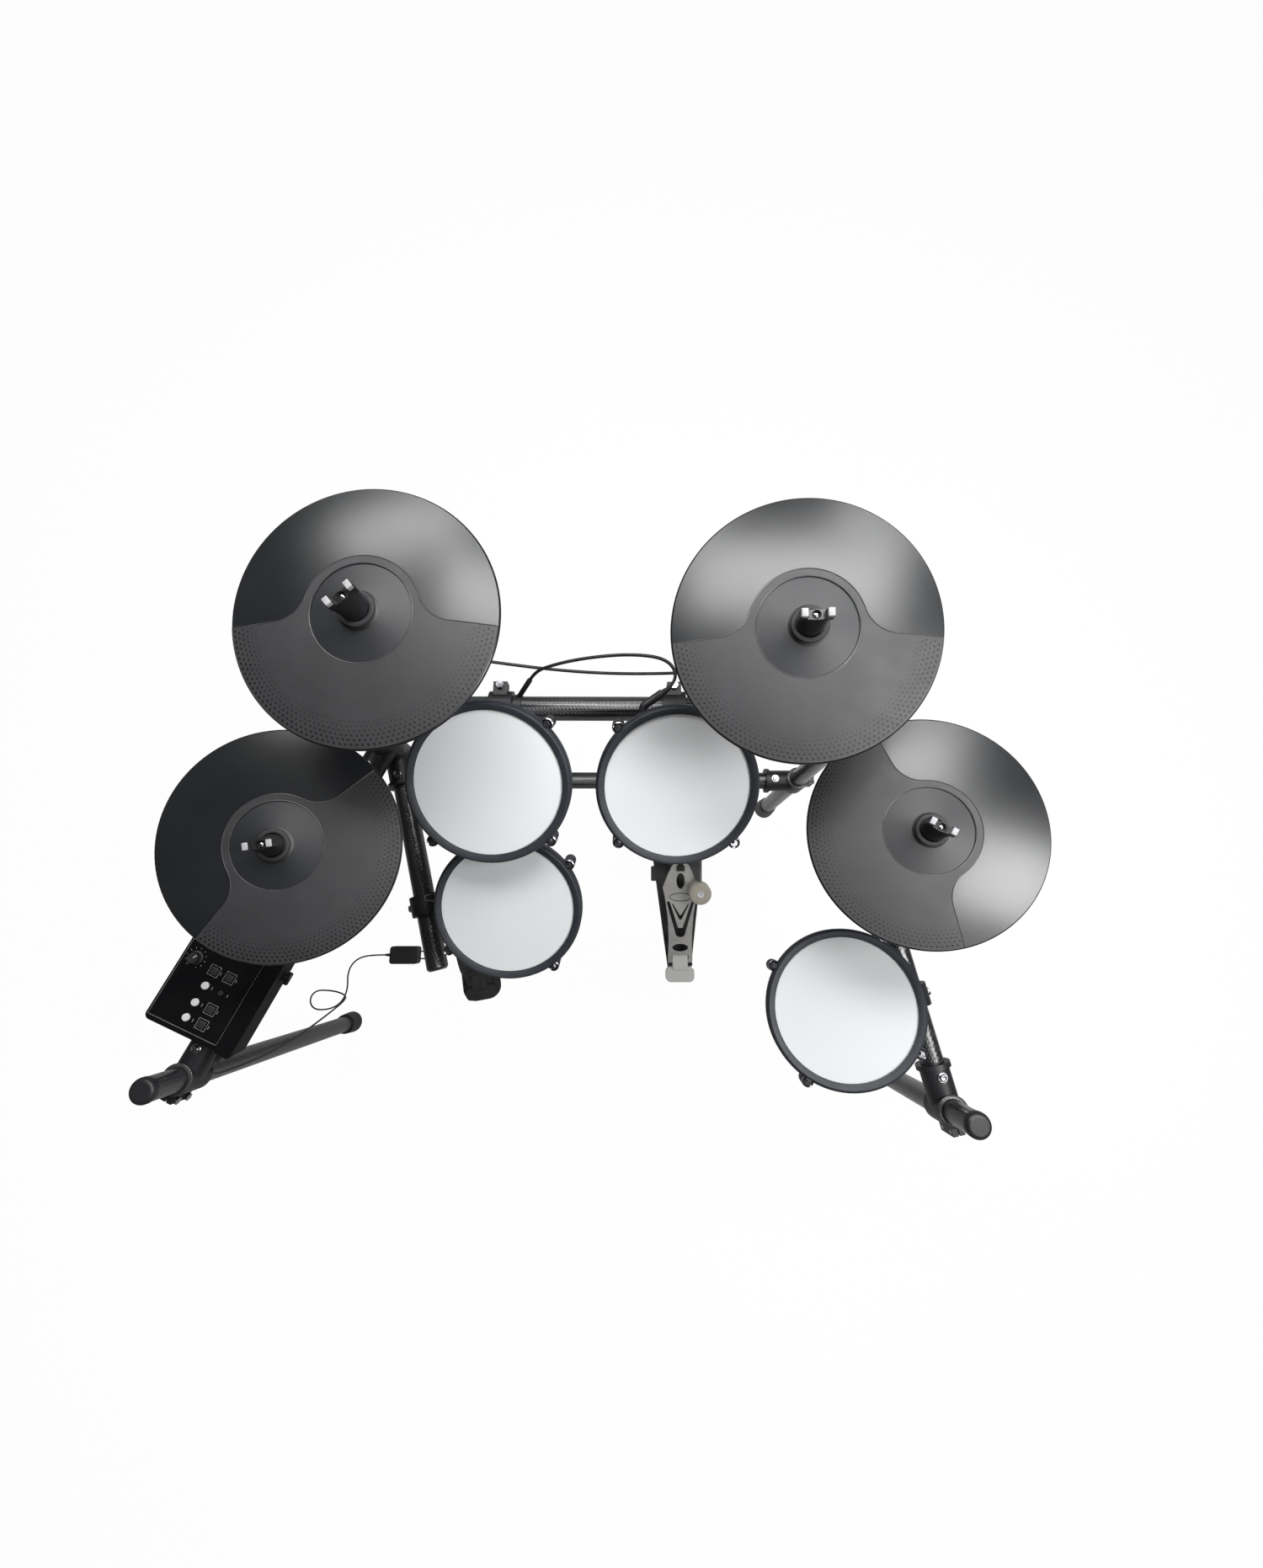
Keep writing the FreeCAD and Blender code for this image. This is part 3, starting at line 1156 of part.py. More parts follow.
    # tower
    facing = turned(ACROSS, 90)
    pad_spot = origin * at(0, value("pad_face_y"), value("pad_z"))
    pad = lathe("kick_pad_disc", [
        ("0", "-pad_thickness"), ("pad_radius", "-pad_thickness"), ("pad_radius", "-pad_round"),
        ("pad_radius - pad_round", "0"), ("0", "0"),
    ], {2: "pad_round"}, pad_spot * facing)
    node("kick_pad", pad)
    back = value("pad_face_y + pad_thickness")
    disc = piece("Cylinder", "tower_disc",
                 origin * at(0, back + value("tower_plate"), value("pad_z")) * facing,
                 Radius="tower_plate_radius", Height="tower_plate")
    column = centred_box("tower_post", "tower_post_width", "tower_post_depth", "pad_z",
                         origin * at(0, back + value("tower_plate + tower_post_depth/2")))
    base_spot = origin * at(0, value("axle_y + upright_depth/2 + cross_overhang + tower_base_length/2"))
    base = rounded_plate("tower_base", "tower_base_width", "tower_base_length", "tower_base_corner",
                         "tower_plate", base_spot)
    node("kick_tower", fused("kick_tower_full", disc, column, base))


def build_hat_pedal():
    place = Placement(Vector(value("hat_pedal_x"), value("hat_pedal_y"), 0),
                      Rotation(UP, value("hat_pedal_turn")))
    base = rounded_plate("hat_base", "hat_pedal_width", "hat_pedal_length", "hat_corner",
                         "hat_base_height",
                         place * at(0, value("hat_pedal_length/2")))
    heel, pin = heel_block("hat_heel", place * at(0, 4), "0.8*hat_pedal_width",
                           "hat_hinge_inset - knuckle_radius - 5",
                           "hat_base_height", "hat_hinge_inset - 4", "kick_hinge_z")
    sensor = rounded_plate("hat_sensor", "hat_sensor_length", "hat_sensor_width", "plate_corner",
                           "hat_sensor_height",
                           place * at(0, value("hat_sensor_place"), value("hat_base_height")))
    node("hihat_pedal_base", fused("hat_base_full", base, sensor), heel, pin)
    lifted = turned(ACROSS, value("hat_board_rise"))
    hinge = place * at(0, value("hat_hinge_inset"), value("kick_hinge_z")) * lifted
    blank, bore = pedal_board("hat_board", hinge, "board_heel_width", "hat_board_width",
                              "hat_board_toe_width",
                              "hat_board_widest", "hat_board_length", "hat_board_thickness",
                              "board_bulge")
    node("hihat_footboard", cut("hat_board_cut", blank, bore))


def module_place():
    spot = REAR["left"] + WING["left"] * value("module_along") + inside_of("left") * value("module_shift")
    spot.z = value("module_top_z")
    bearing = Rotation(ACROSS, inside_of("left"))
    return Placement(spot, bearing) * turned(ALONG, value("module_lean"))


KEYS = {
    "pattern_key": ("key_column_1", "key_row_1", "key"),
    "click_key": ("key_column_2", "key_row_1", "key"),
    "kit_button": ("key_column_1", "key_row_2", "round"),
    "record_button": ("key_column_2", "key_row_2", "small"),
    "voice_button": ("key_column_1", "key_row_3", "round"),
    "page_key": ("key_column_2", "key_row_3", "key"),
    "tempo_button": ("key_column_1", "key_row_4", "round"),
    "start_key": ("key_column_2", "key_row_4", "key"),
}


def key_solid(name, spot, kind, grow, low, height):
    if kind == "key":
        return centred_box(name, "key_size + 2*" + grow, "key_size + 2*" + grow, height,
                           spot * at(0, 0, low))
    radius = "button_radius" if kind == "round" else "small_button_radius"
    return piece("Cylinder", name, spot * at(0, 0, low), Radius=radius + " + " + grow, Height=height)


def build_module():
    place = module_place()
    low = -value("module_height")
    case = rounded_plate("module_box", "module_width", "module_length", "module_corner", "module_height",
                         place * at(0, 0, low))
    ridge = rounded_plate("module_ridge", "ridge_width", "module_length", "ridge_round",
                          "ridge_height + 4",
                          place * at(value("(module_width - ridge_width)/2"), 0, -4))
    tools = [centred_box("module_screen", "screen_length", "screen_width", "screen_depth + 1",
                         place * at(value("screen_x"), value("screen_y"), -value("screen_depth")))]
    for name, (column, row, kind) in KEYS.items():
        spot = place * at(value(column), value(row))
        node(name,
             key_solid(name + "_cap", spot, kind, "0", -value("button_depth"),
                       "button_depth + button_rise"))
        tools.append(key_solid(name + "_well", spot, kind, "running_gap",
                               -value("button_depth + button_travel + running_gap"), "module_height"))
    knob_spot = place * at(value("knob_x"), value("knob_y"), value("running_gap"))
    node("volume_knob",
         piece("Cone", "knob_cap", knob_spot, Radius1="knob_radius", Radius2="knob_top_radius",
               Height="knob_height"))
    socket = place * at(value("dc_socket_x"), -value("module_length/2"),
                        value("dc_socket_z")) * turned(ACROSS, 90)
    plug = piece("Cylinder", "dc_plug", socket, Radius="dc_plug_radius", Height="dc_plug_length")
    housing = cut("module_housing", fused("module_blank", case, ridge), *tools)
    spot = REAR["left"] + WING["left"] * value("module_along - module_clamp_width/2")
    spot.z = value("wing_bar_z")
    ring_place = pointing(spot, WING["left"])
    ring = piece("Cylinder", "module_clamp_ring", ring_place, Radius="tube_radius + hanger_wall",
                 Height="module_clamp_width")
    saddle = centred_box("module_saddle", "module_width/2", "module_clamp_width", "module_height",
                         place * at(0, 0, 2*low + 6))
    bore = piece("Cylinder", "module_clamp_bore", ring_place * at(0, 0, -1),
                 Radius="tube_radius + running_gap", Height="module_clamp_width + 2")
    clamp = cut("module_clamp", fused("module_clamp_blank", ring, saddle), bore, case)
    node("module_case", housing, clamp, plug)


# Leads: the points of each route are chosen by hand
TOM_LEAD = [
    (153.5, 245.6, 930.7), (168, 255.3, 933.2), (174, 274, 936), (163, 291, 937.5), (140, 299.5, 937.5),
    (101, 303, 934.5), (61, 302, 929.5), (22, 299, 922), (-10, 295, 912), (-33.6, 291.4, 899.4),
    (-44, 284, 884),
]
CRASH_LEAD = [
    (-219, 291, 883), (-209, 301, 897), (-189, 309, 903), (-157, 314, 897), (-117, 315, 885),
    (-69, 313, 873), (-19, 310, 865), (33, 307, 861), (85, 305, 860), (137, 304, 862),
    (189, 304, 866), (239, 305, 873), (285, 308, 883), (321, 311, 894), (345, 308, 901),
    (363, 300, 896), (373, 291, 883),
]
POWER_LEAD = [
    (-555.9, -287.9, 684.9), (-562.5, -301.5, 684.9), (-568, -311, 672), (-570, -314, 654),
    (-571, -315, 622), (-573, -314.5, 564), (-576, -312.5, 506), (-580, -309, 448),
    (-585, -304, 390), (-591, -297.5, 332), (-597.5, -290, 274), (-604, -282, 216),
    (-610.5, -274, 160), (-617, -266.5, 108), (-624, -260, 66), (-635, -254, 32), (-655, -248, 11),
    (-679, -243, 3), (-705, -240.6, 2.3), (-727, -241.4, 2.3), (-741.4, -254.9, 2.3),
    (-741.4, -275.1, 2.3), (-727, -289.4, 2.3), (-701, -290.5, 2.3), (-675, -284, 2.3),
    (-657, -269, 2.3), (-648, -249, 2.3), (-646, -227, 2.3), (-649, -203, 2.3), (-643, -177, 2.3),
    (-625, -159, 2.6), (-601, -151.5, 5), (-573, -149.5, 9.5), (-551, -149, 12), (-530, -149, 12),
]
CLIPS = {"tom_clip": (-66.0, TOM_LEAD[-1]), "left_clip": (-241.0, CRASH_LEAD[0]),
         "right_clip": (395.0, CRASH_LEAD[-1])}


def lead(name, spots, radius):
    points = [Vector(*spot) for spot in spots]
    runs = [(after - before).Length for before, after in zip(points, points[1:])]
    radii = {}

    def largest(i, half):
        radii[i] = 0.45 * min(runs[i - 1], runs[i]) / math.tan(half)
        return radii[i]

    wire = bent_wire(points, largest)
    solid = pipe_along(wire, value(radius))
    share = solid.Volume / (math.pi * value(radius) ** 2 * wire.Length)
    print(name, "length", round(wire.Length), "longest run", round(max(runs)), "tightest",
          round(min(radii.values()), 1),
          "at", min(radii, key=radii.get), "volume share", round(share, 4))
    node(name, formed(name + "_tube", solid))


def lead_clips():
    solids = []
    for name, (x, tip) in CLIPS.items():
        spot = Vector(x, value("rear_y"), value("upper_bar_z"))
        ring_place = Placement(spot, Rotation()) * at(-value("clip_width/2")) * turned(ALONG, 90)
        ring = piece("Cylinder", name + "_ring", ring_place, Radius="tube_radius + clip_wall",
                     Height="clip_width")
        bore = piece("Cylinder", name + "_bore", ring_place * at(0, 0, -1),
                     Radius="tube_radius + bond_gap", Height="clip_width + 2")
        root = spot + Vector(0, value("0.7*tube_radius"), value("0.7*tube_radius"))
        reach = Vector(*tip) - root
        stalk = piece("Cylinder", name + "_stalk", pointing(root, reach), Radius="clip_post_radius",
                      Height="%f" % reach.Length)
        solids.append(cut(name, fused(name + "_blank", ring, stalk), bore))
    return solids


# The angled plug of the tom lead, its head pushed through a hole in the shell.
def tom_plug(place, shell):
    first = Vector(*TOM_LEAD[0])
    heading = (Vector(*TOM_LEAD[1]) - first).normalize()
    elbow = first - heading * value("jack_barrel_length")
    turn = math.radians(value("jack_turn"))
    inward = place.Rotation * Vector(-math.cos(turn), -math.sin(turn), 0)
    tip = elbow + inward * value("jack_head_length")
    hole = piece("Cylinder", "jack_hole", pointing(elbow, inward),
                 Radius="jack_radius + bond_gap", Height="2*jack_head_length")
    plug = bent_rod("jack_plug", [first, elbow, tip], "jack_radius", "jack_bend")
    return cut("tom_2_socketed", shell, hole), plug


def build_adapter():
    place = at(value("adapter_x"), value("adapter_y"))
    box = rounded_plate("adapter_box", "adapter_length", "adapter_width", "adapter_corner",
                        "adapter_height", place)
    pins = [piece("Cylinder", "adapter_pin_%d" % side,
                  place * at(value("adapter_length/2"), side * value("adapter_pin_gap/2"),
                             value("adapter_height/2")) * turned(ALONG, 90),
                  Radius="adapter_pin_radius", Height="adapter_pin_length") for side in (-1, 1)]
    node("power_adapter", box, *pins)


def build_all():
    hangers = build_cymbals()
    build_pads()
    build_rack(hangers)
    build_kick()
    build_hat_pedal()
    build_module()
    build_adapter()
    lead("tom_2_lead", TOM_LEAD, "signal_lead_radius")
    lead("crash_lead", CRASH_LEAD, "signal_lead_radius")
    lead("power_lead", POWER_LEAD, "power_lead_radius")


def write_parts():
    doc.recompute()
    failed = [o.Name for o in doc.Objects if {"Invalid", "Error"} & set(o.State)]
    if failed:
        raise RuntimeError("failed objects: " + ", ".join(failed))
    for thing in nodes:
        if thing.Shape.isNull() or not thing.Shape.isValid():
            raise RuntimeError("bad shape: " + thing.Label)
    os.makedirs("parts", exist_ok=True)
    for thing in nodes:
        thing.Shape.exportStep("parts/%s.step" % thing.Label)
        print(thing.Label, len(thing.Shape.Solids), "solids", round(thing.Shape.Volume / 1000, 1), "cm3")
    print(len(nodes), "nodes")


build_all()
write_parts()
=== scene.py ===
import bpy
import bmesh
import json
from math import atan, atan2, cos, hypot, pi, radians, sin, sqrt
from mathutils import Matrix, Vector
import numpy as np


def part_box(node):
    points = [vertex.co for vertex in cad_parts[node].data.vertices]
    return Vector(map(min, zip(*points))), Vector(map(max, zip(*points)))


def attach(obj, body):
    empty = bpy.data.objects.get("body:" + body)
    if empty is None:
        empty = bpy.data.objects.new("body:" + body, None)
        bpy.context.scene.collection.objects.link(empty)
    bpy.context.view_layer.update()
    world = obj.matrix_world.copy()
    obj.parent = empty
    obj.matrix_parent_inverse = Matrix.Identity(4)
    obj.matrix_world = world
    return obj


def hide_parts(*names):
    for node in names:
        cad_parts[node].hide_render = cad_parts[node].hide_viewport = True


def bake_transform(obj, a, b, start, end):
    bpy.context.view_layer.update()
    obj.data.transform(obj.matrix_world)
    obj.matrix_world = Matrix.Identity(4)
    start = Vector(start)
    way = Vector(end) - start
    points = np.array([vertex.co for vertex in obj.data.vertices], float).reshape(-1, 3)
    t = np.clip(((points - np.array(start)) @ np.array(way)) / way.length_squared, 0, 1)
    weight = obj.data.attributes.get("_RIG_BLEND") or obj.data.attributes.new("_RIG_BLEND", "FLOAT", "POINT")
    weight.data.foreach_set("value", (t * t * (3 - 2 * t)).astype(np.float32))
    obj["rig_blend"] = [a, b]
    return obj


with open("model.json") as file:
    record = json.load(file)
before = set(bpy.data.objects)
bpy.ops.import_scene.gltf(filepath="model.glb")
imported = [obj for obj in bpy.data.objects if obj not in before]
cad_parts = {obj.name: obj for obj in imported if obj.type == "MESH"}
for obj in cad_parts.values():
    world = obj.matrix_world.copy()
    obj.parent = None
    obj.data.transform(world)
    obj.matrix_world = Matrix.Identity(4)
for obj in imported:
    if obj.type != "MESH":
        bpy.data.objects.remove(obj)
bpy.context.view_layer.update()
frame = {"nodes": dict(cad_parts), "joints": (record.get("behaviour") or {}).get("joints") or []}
nodes = frame["nodes"]
jointOf = {joint["name"]: joint for joint in frame["joints"]}
scene = bpy.context.scene
scene.view_settings.view_transform = "Standard"
mm = 0.001
print("frame loaded:", len(nodes), "nodes")


# camera, as the photograph was taken: from above the drummer's place, looking down and slightly back
cameraView = {
    "place": (0.104, -0.085, 1.780),
    "right": (0.99998, 0.0, 0.0065),
    "up": (-0.0015, 0.97412, 0.22599),
    "forward": (0.0063, 0.22599, -0.97410),
    "lens": 14.5,
    "sensor": 36.0,
    "near": 0.02,
}


def addCamera():
    lens = bpy.data.cameras.new("photoCamera")
    lens.sensor_fit = "AUTO"
    lens.sensor_width = cameraView["sensor"]
    lens.lens = cameraView["lens"]
    lens.clip_start = cameraView["near"]
    camera = bpy.data.objects.new("photoCamera", lens)
    axes = cameraView["right"], cameraView["up"], -Vector(cameraView["forward"])
    camera.matrix_world = framed(cameraView["place"], *axes)
    scene.collection.objects.link(camera)
    scene.camera = camera


# node helpers: each adds to the tree that the socket or node it is given is in
def startMaterial(name):
    mat = bpy.data.materials.new(name)
    mat.use_nodes = True
    shader = mat.node_tree.nodes["Principled BSDF"]
    return mat, shader, addNode(shader, "ShaderNodeTexCoord").outputs["Object"]


# each input takes a link or a plain value
def feed(node, sources):
    for socket, source in sources.items():
        target = node.inputs[socket]
        if isinstance(source, bpy.types.NodeSocket):
            node.id_data.links.new(source, target)
        else:
            target.default_value = source


def addNode(beside, kind, sources=None, **values):
    node = beside.id_data.nodes.new(kind)
    for key, value in values.items():
        setattr(node, key, value)
    feed(node, sources or {})
    return node


def mathNode(operation, first, second):
    return addNode(first, "ShaderNodeMath", {0: first, 1: second}, operation=operation).outputs[0]


def noise(vector, scale, detail=4.0, rough=0.55):
    return addNode(vector, "ShaderNodeTexNoise", {"Vector": vector, "Scale": scale, "Detail": detail,
                                                  "Roughness": rough}).outputs["Fac"]


def wave(vector, scale, distortion, detail=1.0, direction="X"):
    return addNode(vector, "ShaderNodeTexWave", {"Vector": vector, "Scale": scale, "Distortion": distortion,
                                                 "Detail": detail}, bands_direction=direction).outputs["Fac"]


def spread(value, low, high, fromLow=0.3, fromHigh=0.7):
    return addNode(value, "ShaderNodeMapRange", {"Value": value, "From Min": fromLow, "From Max": fromHigh,
                                                 "To Min": low, "To Max": high}).outputs["Result"]


# a colour between two others, each a fixed colour or a socket
def tinted(factor, dark, light):
    node = addNode(factor, "ShaderNodeMix", data_type="RGBA")
    spot = {socket.identifier: i for i, socket in enumerate(node.inputs)}
    under, over = ((*tone, 1) if isinstance(tone, tuple) else tone for tone in (dark, light))
    feed(node, {spot["Factor_Float"]: factor, spot["A_Color"]: under, spot["B_Color"]: over})
    return next(socket for socket in node.outputs if socket.identifier == "Result_Color")


def bumped(shader, height, strength, depth=0.0002):
    bump = addNode(shader, "ShaderNodeBump", {"Height": height, "Strength": strength, "Distance": depth})
    feed(shader, {"Normal": bump.outputs["Normal"]})


def mapped(vector, sources, kind="POINT"):
    node = addNode(vector, "ShaderNodeMapping", {"Vector": vector, **sources}, vector_type=kind)
    return node.outputs["Vector"]


def localTo(coords, place):
    return mapped(coords, {"Location": place.translation, "Rotation": place.to_euler()}, "TEXTURE")


# a moulded or coated surface: cloudy colour, uneven gloss and a fine grain
mouldLook = {"smear": 2.7, "glossier": 0.06, "duller": 0.07}


def moulded(name, dark, light, rough, cloud=18.0, grain=1600.0, bump=0.12, metallic=0.0, coat=0.0,
            specular=0.5):
    mat, shader, coords = startMaterial(name)
    clouds = noise(coords, cloud, detail=6.0)
    smears = noise(coords, cloud * mouldLook["smear"], detail=8.0, rough=0.65)
    feed(shader, {
        "Base Color": tinted(spread(clouds, 0, 1), dark, light),
        "Roughness": spread(smears, rough - mouldLook["glossier"], rough + mouldLook["duller"]),
        "Metallic": metallic, "Coat Weight": coat, "Specular IOR Level": specular,
    })
    bumped(shader, noise(coords, grain, detail=2.0), bump)
    return mat


tubeLook = {
    "dark": (0.010, 0.011, 0.013), "light": (0.044, 0.046, 0.052), "coat": 0.6, "coatRough": 0.22,
    "line": 80.0, "slants": ((0.6, 0.5, 0.7), (-0.6, 0.5, -0.7)), "lineGloss": -0.1,
    "rough": (0.29, 0.39), "specular": 0.9,
    "streak": (4.0, 170.0, 170.0), "streakFrom": (0.38, 0.66), "streakGloss": 3.2, "streakRough": 0.52,
}


# rack tube: black with a fine slanting woven line in its sheen; on the crossbars it reads as long streaks
def tubeMaterial(name, streaked):
    look = tubeLook
    mat, shader, coords = startMaterial(name)
    lines = [wave(mapped(coords, {"Rotation": slant}), look["line"], distortion=0.4)
             for slant in look["slants"]]
    weave = mathNode("MULTIPLY", lines[0], lines[1])
    if streaked:
        drawn = noise(mapped(coords, {"Scale": look["streak"]}), scale=1.0, detail=3.0)
        sheen = spread(drawn, 0.0, look["streakGloss"], *look["streakFrom"])
        rough = look["streakRough"]
    else:
        haze = spread(noise(coords, scale=30.0, detail=6.0), *look["rough"])
        sheen = look["specular"]
        rough = mathNode("ADD", haze, mathNode("MULTIPLY", weave, look["lineGloss"]))
    feed(shader, {
        "Base Color": tinted(weave, look["dark"], look["light"]), "Roughness": rough,
        "Specular IOR Level": sheen, "Coat Weight": look["coat"], "Coat Roughness": look["coatRough"],
    })
    bumped(shader, weave, strength=0.7, depth=0.0004)
    return mat


# name, darker and lighter tone, roughness, then the scales of clouds and grain, and bump
fittingBlack = moulded("fittingBlack", (0.012, 0.012, 0.014), (0.024, 0.024, 0.027), 0.42, bump=0.2)
boomBlack = moulded("boomBlack", (0.013, 0.013, 0.015), (0.022, 0.022, 0.025), 0.32, bump=0.05)
chrome = moulded("screwChrome", (0.34, 0.34, 0.36), (0.50, 0.50, 0.52), 0.16, 60.0, bump=0.03, metallic=1.0)
hoopRubber = moulded("hoopRubber", (0.017, 0.020, 0.027), (0.030, 0.034, 0.043), 0.55, grain=2200.0,
                     bump=0.35)
shellBlack = moulded("shellBlack", (0.012, 0.012, 0.014), (0.026, 0.026, 0.029), 0.45, bump=0.25)
alloy = moulded("blastedAlloy", (0.50, 0.49, 0.47), (0.62, 0.61, 0.58), 0.42, 40.0, 1400.0, 0.3, metallic=0.5)
heelAlloy = moulded("heelAlloy", (0.88, 0.87, 0.84), (0.94, 0.93, 0.90), 0.45, 40.0, 1400.0, 0.3)
pedalBlack = moulded("pedalBlack", (0.010, 0.010, 0.012), (0.022, 0.022, 0.024), 0.38, bump=0.15)
padRubber = moulded("padRubber", (0.018, 0.018, 0.020), (0.034, 0.034, 0.037), 0.62, 60.0, 1800.0, 0.4)
treadRubber = moulded("treadRubber", (0.018, 0.018, 0.020), (0.036, 0.036, 0.039), 0.58, 50.0, 1500.0, 0.4)
moduleBlack = moulded("moduleBlack", (0.004, 0.004, 0.005), (0.008, 0.008, 0.009), 0.42, 14.0, bump=0.04,
                      specular=0.1)
caseBlack = moulded("caseBlack", (0.006, 0.006, 0.007), (0.011, 0.011, 0.012), 0.58, 22.0, bump=0.2,
                    specular=0.15)
keyGrey = moulded("keyGrey", (0.020, 0.020, 0.022), (0.032, 0.032, 0.034), 0.5, 120.0, bump=0.2)
buttonWhite = moulded("buttonWhite", (0.70, 0.71, 0.72), (0.80, 0.81, 0.82), 0.4, 160.0, bump=0.08)
markGrey = moulded("markGrey", (0.34, 0.34, 0.35), (0.46, 0.46, 0.47), 0.55, 200.0)
trimGrey = moulded("trimGrey", (0.12, 0.12, 0.125), (0.19, 0.19, 0.195), 0.4, 80.0)
# lighter grey for the beads and collar lips is a painted highlight on their edges
paintedHighlightGrey = moulded("paintedHighlightGrey", (0.040, 0.040, 0.043), (0.065, 0.065, 0.068), 0.3, 80.0)
tipGrey = moulded("tipGrey", (0.34, 0.34, 0.35), (0.44, 0.44, 0.45), 0.42, 160.0)
nutBlack = moulded("nutBlack", (0.009, 0.009, 0.010), (0.016, 0.016, 0.018), 0.20, 40.0, bump=0.04,
                   specular=0.8)
leadJacket = moulded("leadJacket", (0.010, 0.010, 0.011), (0.020, 0.020, 0.022), 0.44, 90.0, 2400.0, 0.2)
screenGlass = moulded("screenGlass", (0.006, 0.009, 0.011), (0.010, 0.014, 0.017), 0.08, 20.0, bump=0.0,
                      coat=0.5)
wovenTube = tubeMaterial("wovenBlackTube", False)
streakedTube = tubeMaterial("streakedBlackTube", True)
print("common materials made")


# places: moves in mm, turns in degrees
def shifted(x, y=0.0, z=0.0):
    return Matrix.Translation((x * mm, y * mm, z * mm))


def turned(degrees, axis="Z"):
    return Matrix.Rotation(radians(degrees), 4, axis)


def polar(angle, radius):
    return Vector((cos(angle), sin(angle))) * radius


def upright(centre, normal):
    turn = Vector((0, 0, 1)).rotation_difference(normal)
    return Matrix.Translation(centre) @ turn.to_matrix().to_4x4()


def framed(centre, *axes):
    return Matrix.Translation(centre) @ Matrix(axes).transposed().to_4x4()


def meanNormal(mesh, steepest):
    faces = [p for p in mesh.polygons if p.normal.z > steepest]
    return sum((p.normal * p.area for p in faces), Vector()).normalized()


# mesh helpers: a piece's place is in its mesh
meshLook = {"weld": 1e-7, "pieceEdge": 35, "templateEdge": 40}


def meshFrom(bm, name, sharpEdge=meshLook["templateEdge"]):
    bmesh.ops.remove_doubles(bm, verts=bm.verts, dist=meshLook["weld"])
    bmesh.ops.recalc_face_normals(bm, faces=bm.faces)
    mesh = bpy.data.meshes.new(name)
    bm.to_mesh(mesh)
    bm.free()
    mesh.shade_smooth()
    mesh.set_sharp_from_angle(angle=radians(sharpEdge))
    return mesh


def addObject(name, data):
    thing = bpy.data.objects.new(name, data)
    scene.collection.objects.link(thing)
    return thing


def finishPiece(name, bm, mat, body, place=None):
    if place is not None:
        bm.transform(place)
    mesh = meshFrom(bm, name, meshLook["pieceEdge"])
    mesh.materials.append(mat)
    piece = addObject(name, mesh)
    if body:
        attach(piece, body)
    return piece


# faces between rings of points; corners that meet on the axis fall together
def skin(bm, rings, closed):
    count = len(rings[0])
    for one, two in zip(rings, rings[1:] + rings[:1] if closed else rings[1:]):
        for k in range(count):
            after = (k + 1) % count
            far = [two[i] for i in (k, after) if two[i].co != one[i].co]
            if far:
                bm.faces.new([one[k], *far, one[after]])
    if not closed:
        bm.faces.new(rings[0])
        bm.faces.new(list(reversed(rings[-1])))


# turn a closed profile of (radius, height) in mm about local Z, by degrees
def spun(bm, profile, steps, start=0.0, sweep=360.0):
    closed = sweep == 360.0
    rings = []
    for i in range(steps if closed else steps + 1):
        angle = radians(start) + radians(sweep) * i / steps
        rings.append([bm.verts.new((*polar(angle, r * mm), z * mm)) for r, z in profile])
    skin(bm, rings, closed)


def turnedPiece(name, profile, steps, mat, body, place):
    bm = bmesh.new()
    spun(bm, profile, steps)
    return finishPiece(name, bm, mat, body, place)


# a block with rounded edges on local Z = low; the dicts list its sizes in this order, in mm
def softBlock(bm, length, width, low, high, edge, place=None):
    made = bmesh.ops.create_cube(bm, size=1.0)["verts"]
    grow = Matrix.Diagonal((length * mm, width * mm, (high - low) * mm, 1))
    bmesh.ops.transform(bm, matrix=shifted(0, 0, (low + high) / 2) @ grow, verts=made)
    edges = list({e for v in made for e in v.link_edges})
    result = bmesh.ops.bevel(bm, geom=edges, offset=edge * mm, segments=3, affect="EDGES", profile=0.5)
    if place is not None:
        verts = {v for v in made if v.is_valid} | set(result["verts"])
        bmesh.ops.transform(bm, matrix=place, verts=list(verts))


# Geometry Nodes: one template on each point, turned and sized by the points' own attributes
def scatterTree(name, template, mat):
    tree = bpy.data.node_groups.new(name, "GeometryNodeTree")
    tree.interface.new_socket("Points", in_out="INPUT", socket_type="NodeSocketGeometry")
    size = tree.interface.new_socket("Size", in_out="INPUT", socket_type="NodeSocketFloat")
    size.default_value = 1.0
    tree.interface.new_socket("Geometry", in_out="OUTPUT", socket_type="NodeSocketGeometry")
    entry = tree.nodes.new("NodeGroupInput").outputs
    leave = tree.nodes.new("NodeGroupOutput")
    info = addNode(tree, "GeometryNodeObjectInfo", {"Object": template})
    turn = addNode(tree, "GeometryNodeInputNamedAttribute", {"Name": "turn"}, data_type="FLOAT_VECTOR")
    grow = addNode(tree, "GeometryNodeInputNamedAttribute", {"Name": "grow"}, data_type="FLOAT")
    euler = addNode(tree, "FunctionNodeEulerToRotation", {"Euler": turn.outputs["Attribute"]})
    place = addNode(tree, "GeometryNodeInstanceOnPoints", {
        "Points": entry["Points"],
        "Instance": info.outputs["Geometry"],
        "Rotation": euler.outputs["Rotation"],
        "Scale": mathNode("MULTIPLY", grow.outputs["Attribute"], entry["Size"]),
    })
    real = addNode(tree, "GeometryNodeRealizeInstances", {"Geometry": place.outputs["Instances"]})
    last = addNode(tree, "GeometryNodeSetMaterial", {"Geometry": real.outputs["Geometry"], "Material": mat})
    feed(leave, {"Geometry": last.outputs["Geometry"]})
    return tree, size.identifier


def evaluated(thing):
    return bpy.data.meshes.new_from_object(thing.evaluated_get(bpy.context.evaluated_depsgraph_get()))


